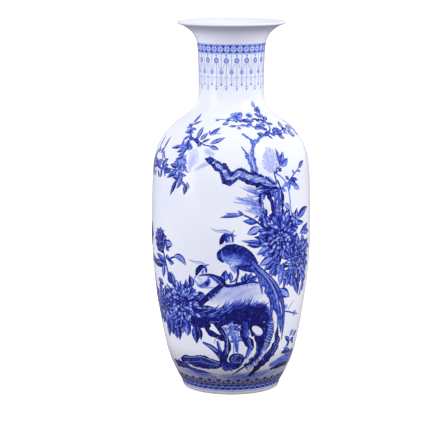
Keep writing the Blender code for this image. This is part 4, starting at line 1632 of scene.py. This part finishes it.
def glazed_walls(nodes):
    """Lathes each section over its node and the slip above it, and returns the outside for painting on."""
    outlines = [section_outline(nodes[name + "_section"]) for name in SECTIONS]
    profile = Profile(whole_outline(outlines), RING_STEP)
    slips = [f"slip_joint_{below}_to_{above}" for below, above in zip(SECTIONS, SECTIONS[1:])]
    joints = [sum(corner.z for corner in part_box(slip)) / 2 / MM for slip in slips]
    finish = porcelain()
    for name, low, high, slip in zip(SECTIONS, [None] + joints, joints + [None], slips + [None]):
        piece = lathe(f"glazed_{name}", profile.section(low, high))
        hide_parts(name + "_section")
        if slip:
            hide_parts(slip)
        dress(piece, finish)
    top = max(height for _, height in outlines[-1])
    return Wall(profile, FOOT_EDGE, top - LIP_DEPTH)


def painting(wall):
    brush = Brush(wall)
    for paint in (neck_lattice, neck_net, foot_border, front):
        paint(brush)
    for side, turn, flip, rise, paint in SIDES_AND_BACK:
        brush.aim(side, turn, flip, rise)
        paint(brush)
    finish = cobalt()
    for piece in brush.pieces():
        dress(piece, finish)


FLOOR_SPOKES = 64
FLOOR_RINGS = (0.1, 0.25, 0.6, 1.5, 4.0, 12.0, 40.0)  # radii in metres
FLOOR_GLOW = 0.62  # light of its own, seen by the camera only


def floor():
    """A wide pale disc, which looks almost white but reflects a warmer grey in the glaze."""
    angles = np.arange(FLOOR_SPOKES) * 2 * math.pi / FLOOR_SPOKES
    points = [(0, 0, 0)] + [(r * math.cos(a), r * math.sin(a), 0) for r in FLOOR_RINGS for a in angles]
    pairs = [(i, (i + 1) % FLOOR_SPOKES) for i in range(FLOOR_SPOKES)]
    faces = [(0, 1 + i, 1 + following) for i, following in pairs]
    for low in range(1, 1 + (len(FLOOR_RINGS) - 1) * FLOOR_SPOKES, FLOOR_SPOKES):
        high = low + FLOOR_SPOKES
        faces += [(low + i, high + i, high + following, low + following) for i, following in pairs]
    mesh = bpy.data.meshes.new("studio_floor")
    mesh.from_pydata(points, [], faces)
    nodes = new_material("studio_floor_finish")
    seen = nodes.add("ShaderNodeLightPath").outputs["Is Camera Ray"]
    paper = nodes.mix(nodes.span(nodes.noise(3.0), 0.3, 0.7), linear(246, 246, 247), linear(250, 250, 251))
    finish = nodes.finish(
        base_color=nodes.mix(seen, linear(166, 158, 162), paper), roughness=0.9, specular_ior_level=0.1,
        emission_color=paper, emission_strength=nodes.math("MULTIPLY", seen, FLOOR_GLOW),
    )
    mesh.materials.append(finish)
    new_object("studio_floor", mesh)


def softbox(name, place, size, power, colour, target):
    light = bpy.data.lights.new(name, "AREA")
    light.shape = "RECTANGLE"
    light.size, light.size_y = size
    light.energy, light.color = power, colour
    lamp = new_object(name, light)
    lamp.location = place
    lamp.rotation_euler = (target - lamp.location).to_track_quat("-Z", "Y").to_euler()


def studio(target):
    softbox("key_softbox", (2.0, -1.1, 1.7), (1.4, 1.8), 34, (1.0, 1.0, 0.99), target)
    softbox("fill_softbox", (-2.2, -1.0, 1.1), (1.2, 2.0), 26, (0.95, 0.97, 1.0), target)
    softbox("top_softbox", (0.1, 0.3, 2.4), (1.6, 1.6), 2, (1.0, 1.0, 1.0), target)


SKY = [(0.0, (1.1, 1.1, 1.13, 1)), (0.2, (1.18, 1.18, 1.2, 1)), (1.0, (0.3, 0.31, 0.36, 1))]
SKY_REFLECTED = 0.75
WHITE = (1, 1, 1, 1)


def surroundings():
    """Pale light from all round, strongest near the horizon, and dimmer where the glaze mirrors it."""
    world = bpy.context.scene.world = bpy.data.worlds.new("studio_surroundings")
    nodes = Nodes(world, "Background")
    direction = nodes.add("ShaderNodeTexCoord").outputs["Generated"]
    height = nodes.add("ShaderNodeSeparateXYZ", {"Vector": direction}).outputs["Z"]
    rays = nodes.add("ShaderNodeLightPath").outputs
    nodes.finish(
        color=nodes.mix(rays["Is Camera Ray"], nodes.ramp(height, SKY), WHITE),
        strength=nodes.span(rays["Is Glossy Ray"], 0.0, 1.0, 1.0, SKY_REFLECTED),
    )


CAMERA_LENS = 154.6
CAMERA_PLACE = (0, -2.986, 0.772)
CAMERA_DIP, CAMERA_TURN = 9.307, 0.507  # degrees below the horizon, and to the left


def camera():
    optics = bpy.data.cameras.new("camera")
    optics.lens = CAMERA_LENS
    optics.clip_end = 100
    holder = new_object("camera", optics)
    holder.location = CAMERA_PLACE
    holder.rotation_euler = (math.radians(90 - CAMERA_DIP), 0, math.radians(CAMERA_TURN))
    bpy.context.scene.camera = holder


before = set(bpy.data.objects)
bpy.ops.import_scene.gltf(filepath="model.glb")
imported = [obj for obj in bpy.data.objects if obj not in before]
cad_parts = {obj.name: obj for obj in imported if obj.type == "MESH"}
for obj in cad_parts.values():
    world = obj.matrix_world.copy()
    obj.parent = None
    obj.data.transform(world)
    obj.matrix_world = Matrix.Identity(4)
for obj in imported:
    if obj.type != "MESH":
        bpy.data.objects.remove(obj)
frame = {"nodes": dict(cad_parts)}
cad_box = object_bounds()
outside = glazed_walls(frame["nodes"])
painting(outside)
floor()
middle = (cad_box[0] + cad_box[1]) / 2
studio(middle)
surroundings()
camera()
bpy.context.scene.view_settings.view_transform = "Standard"
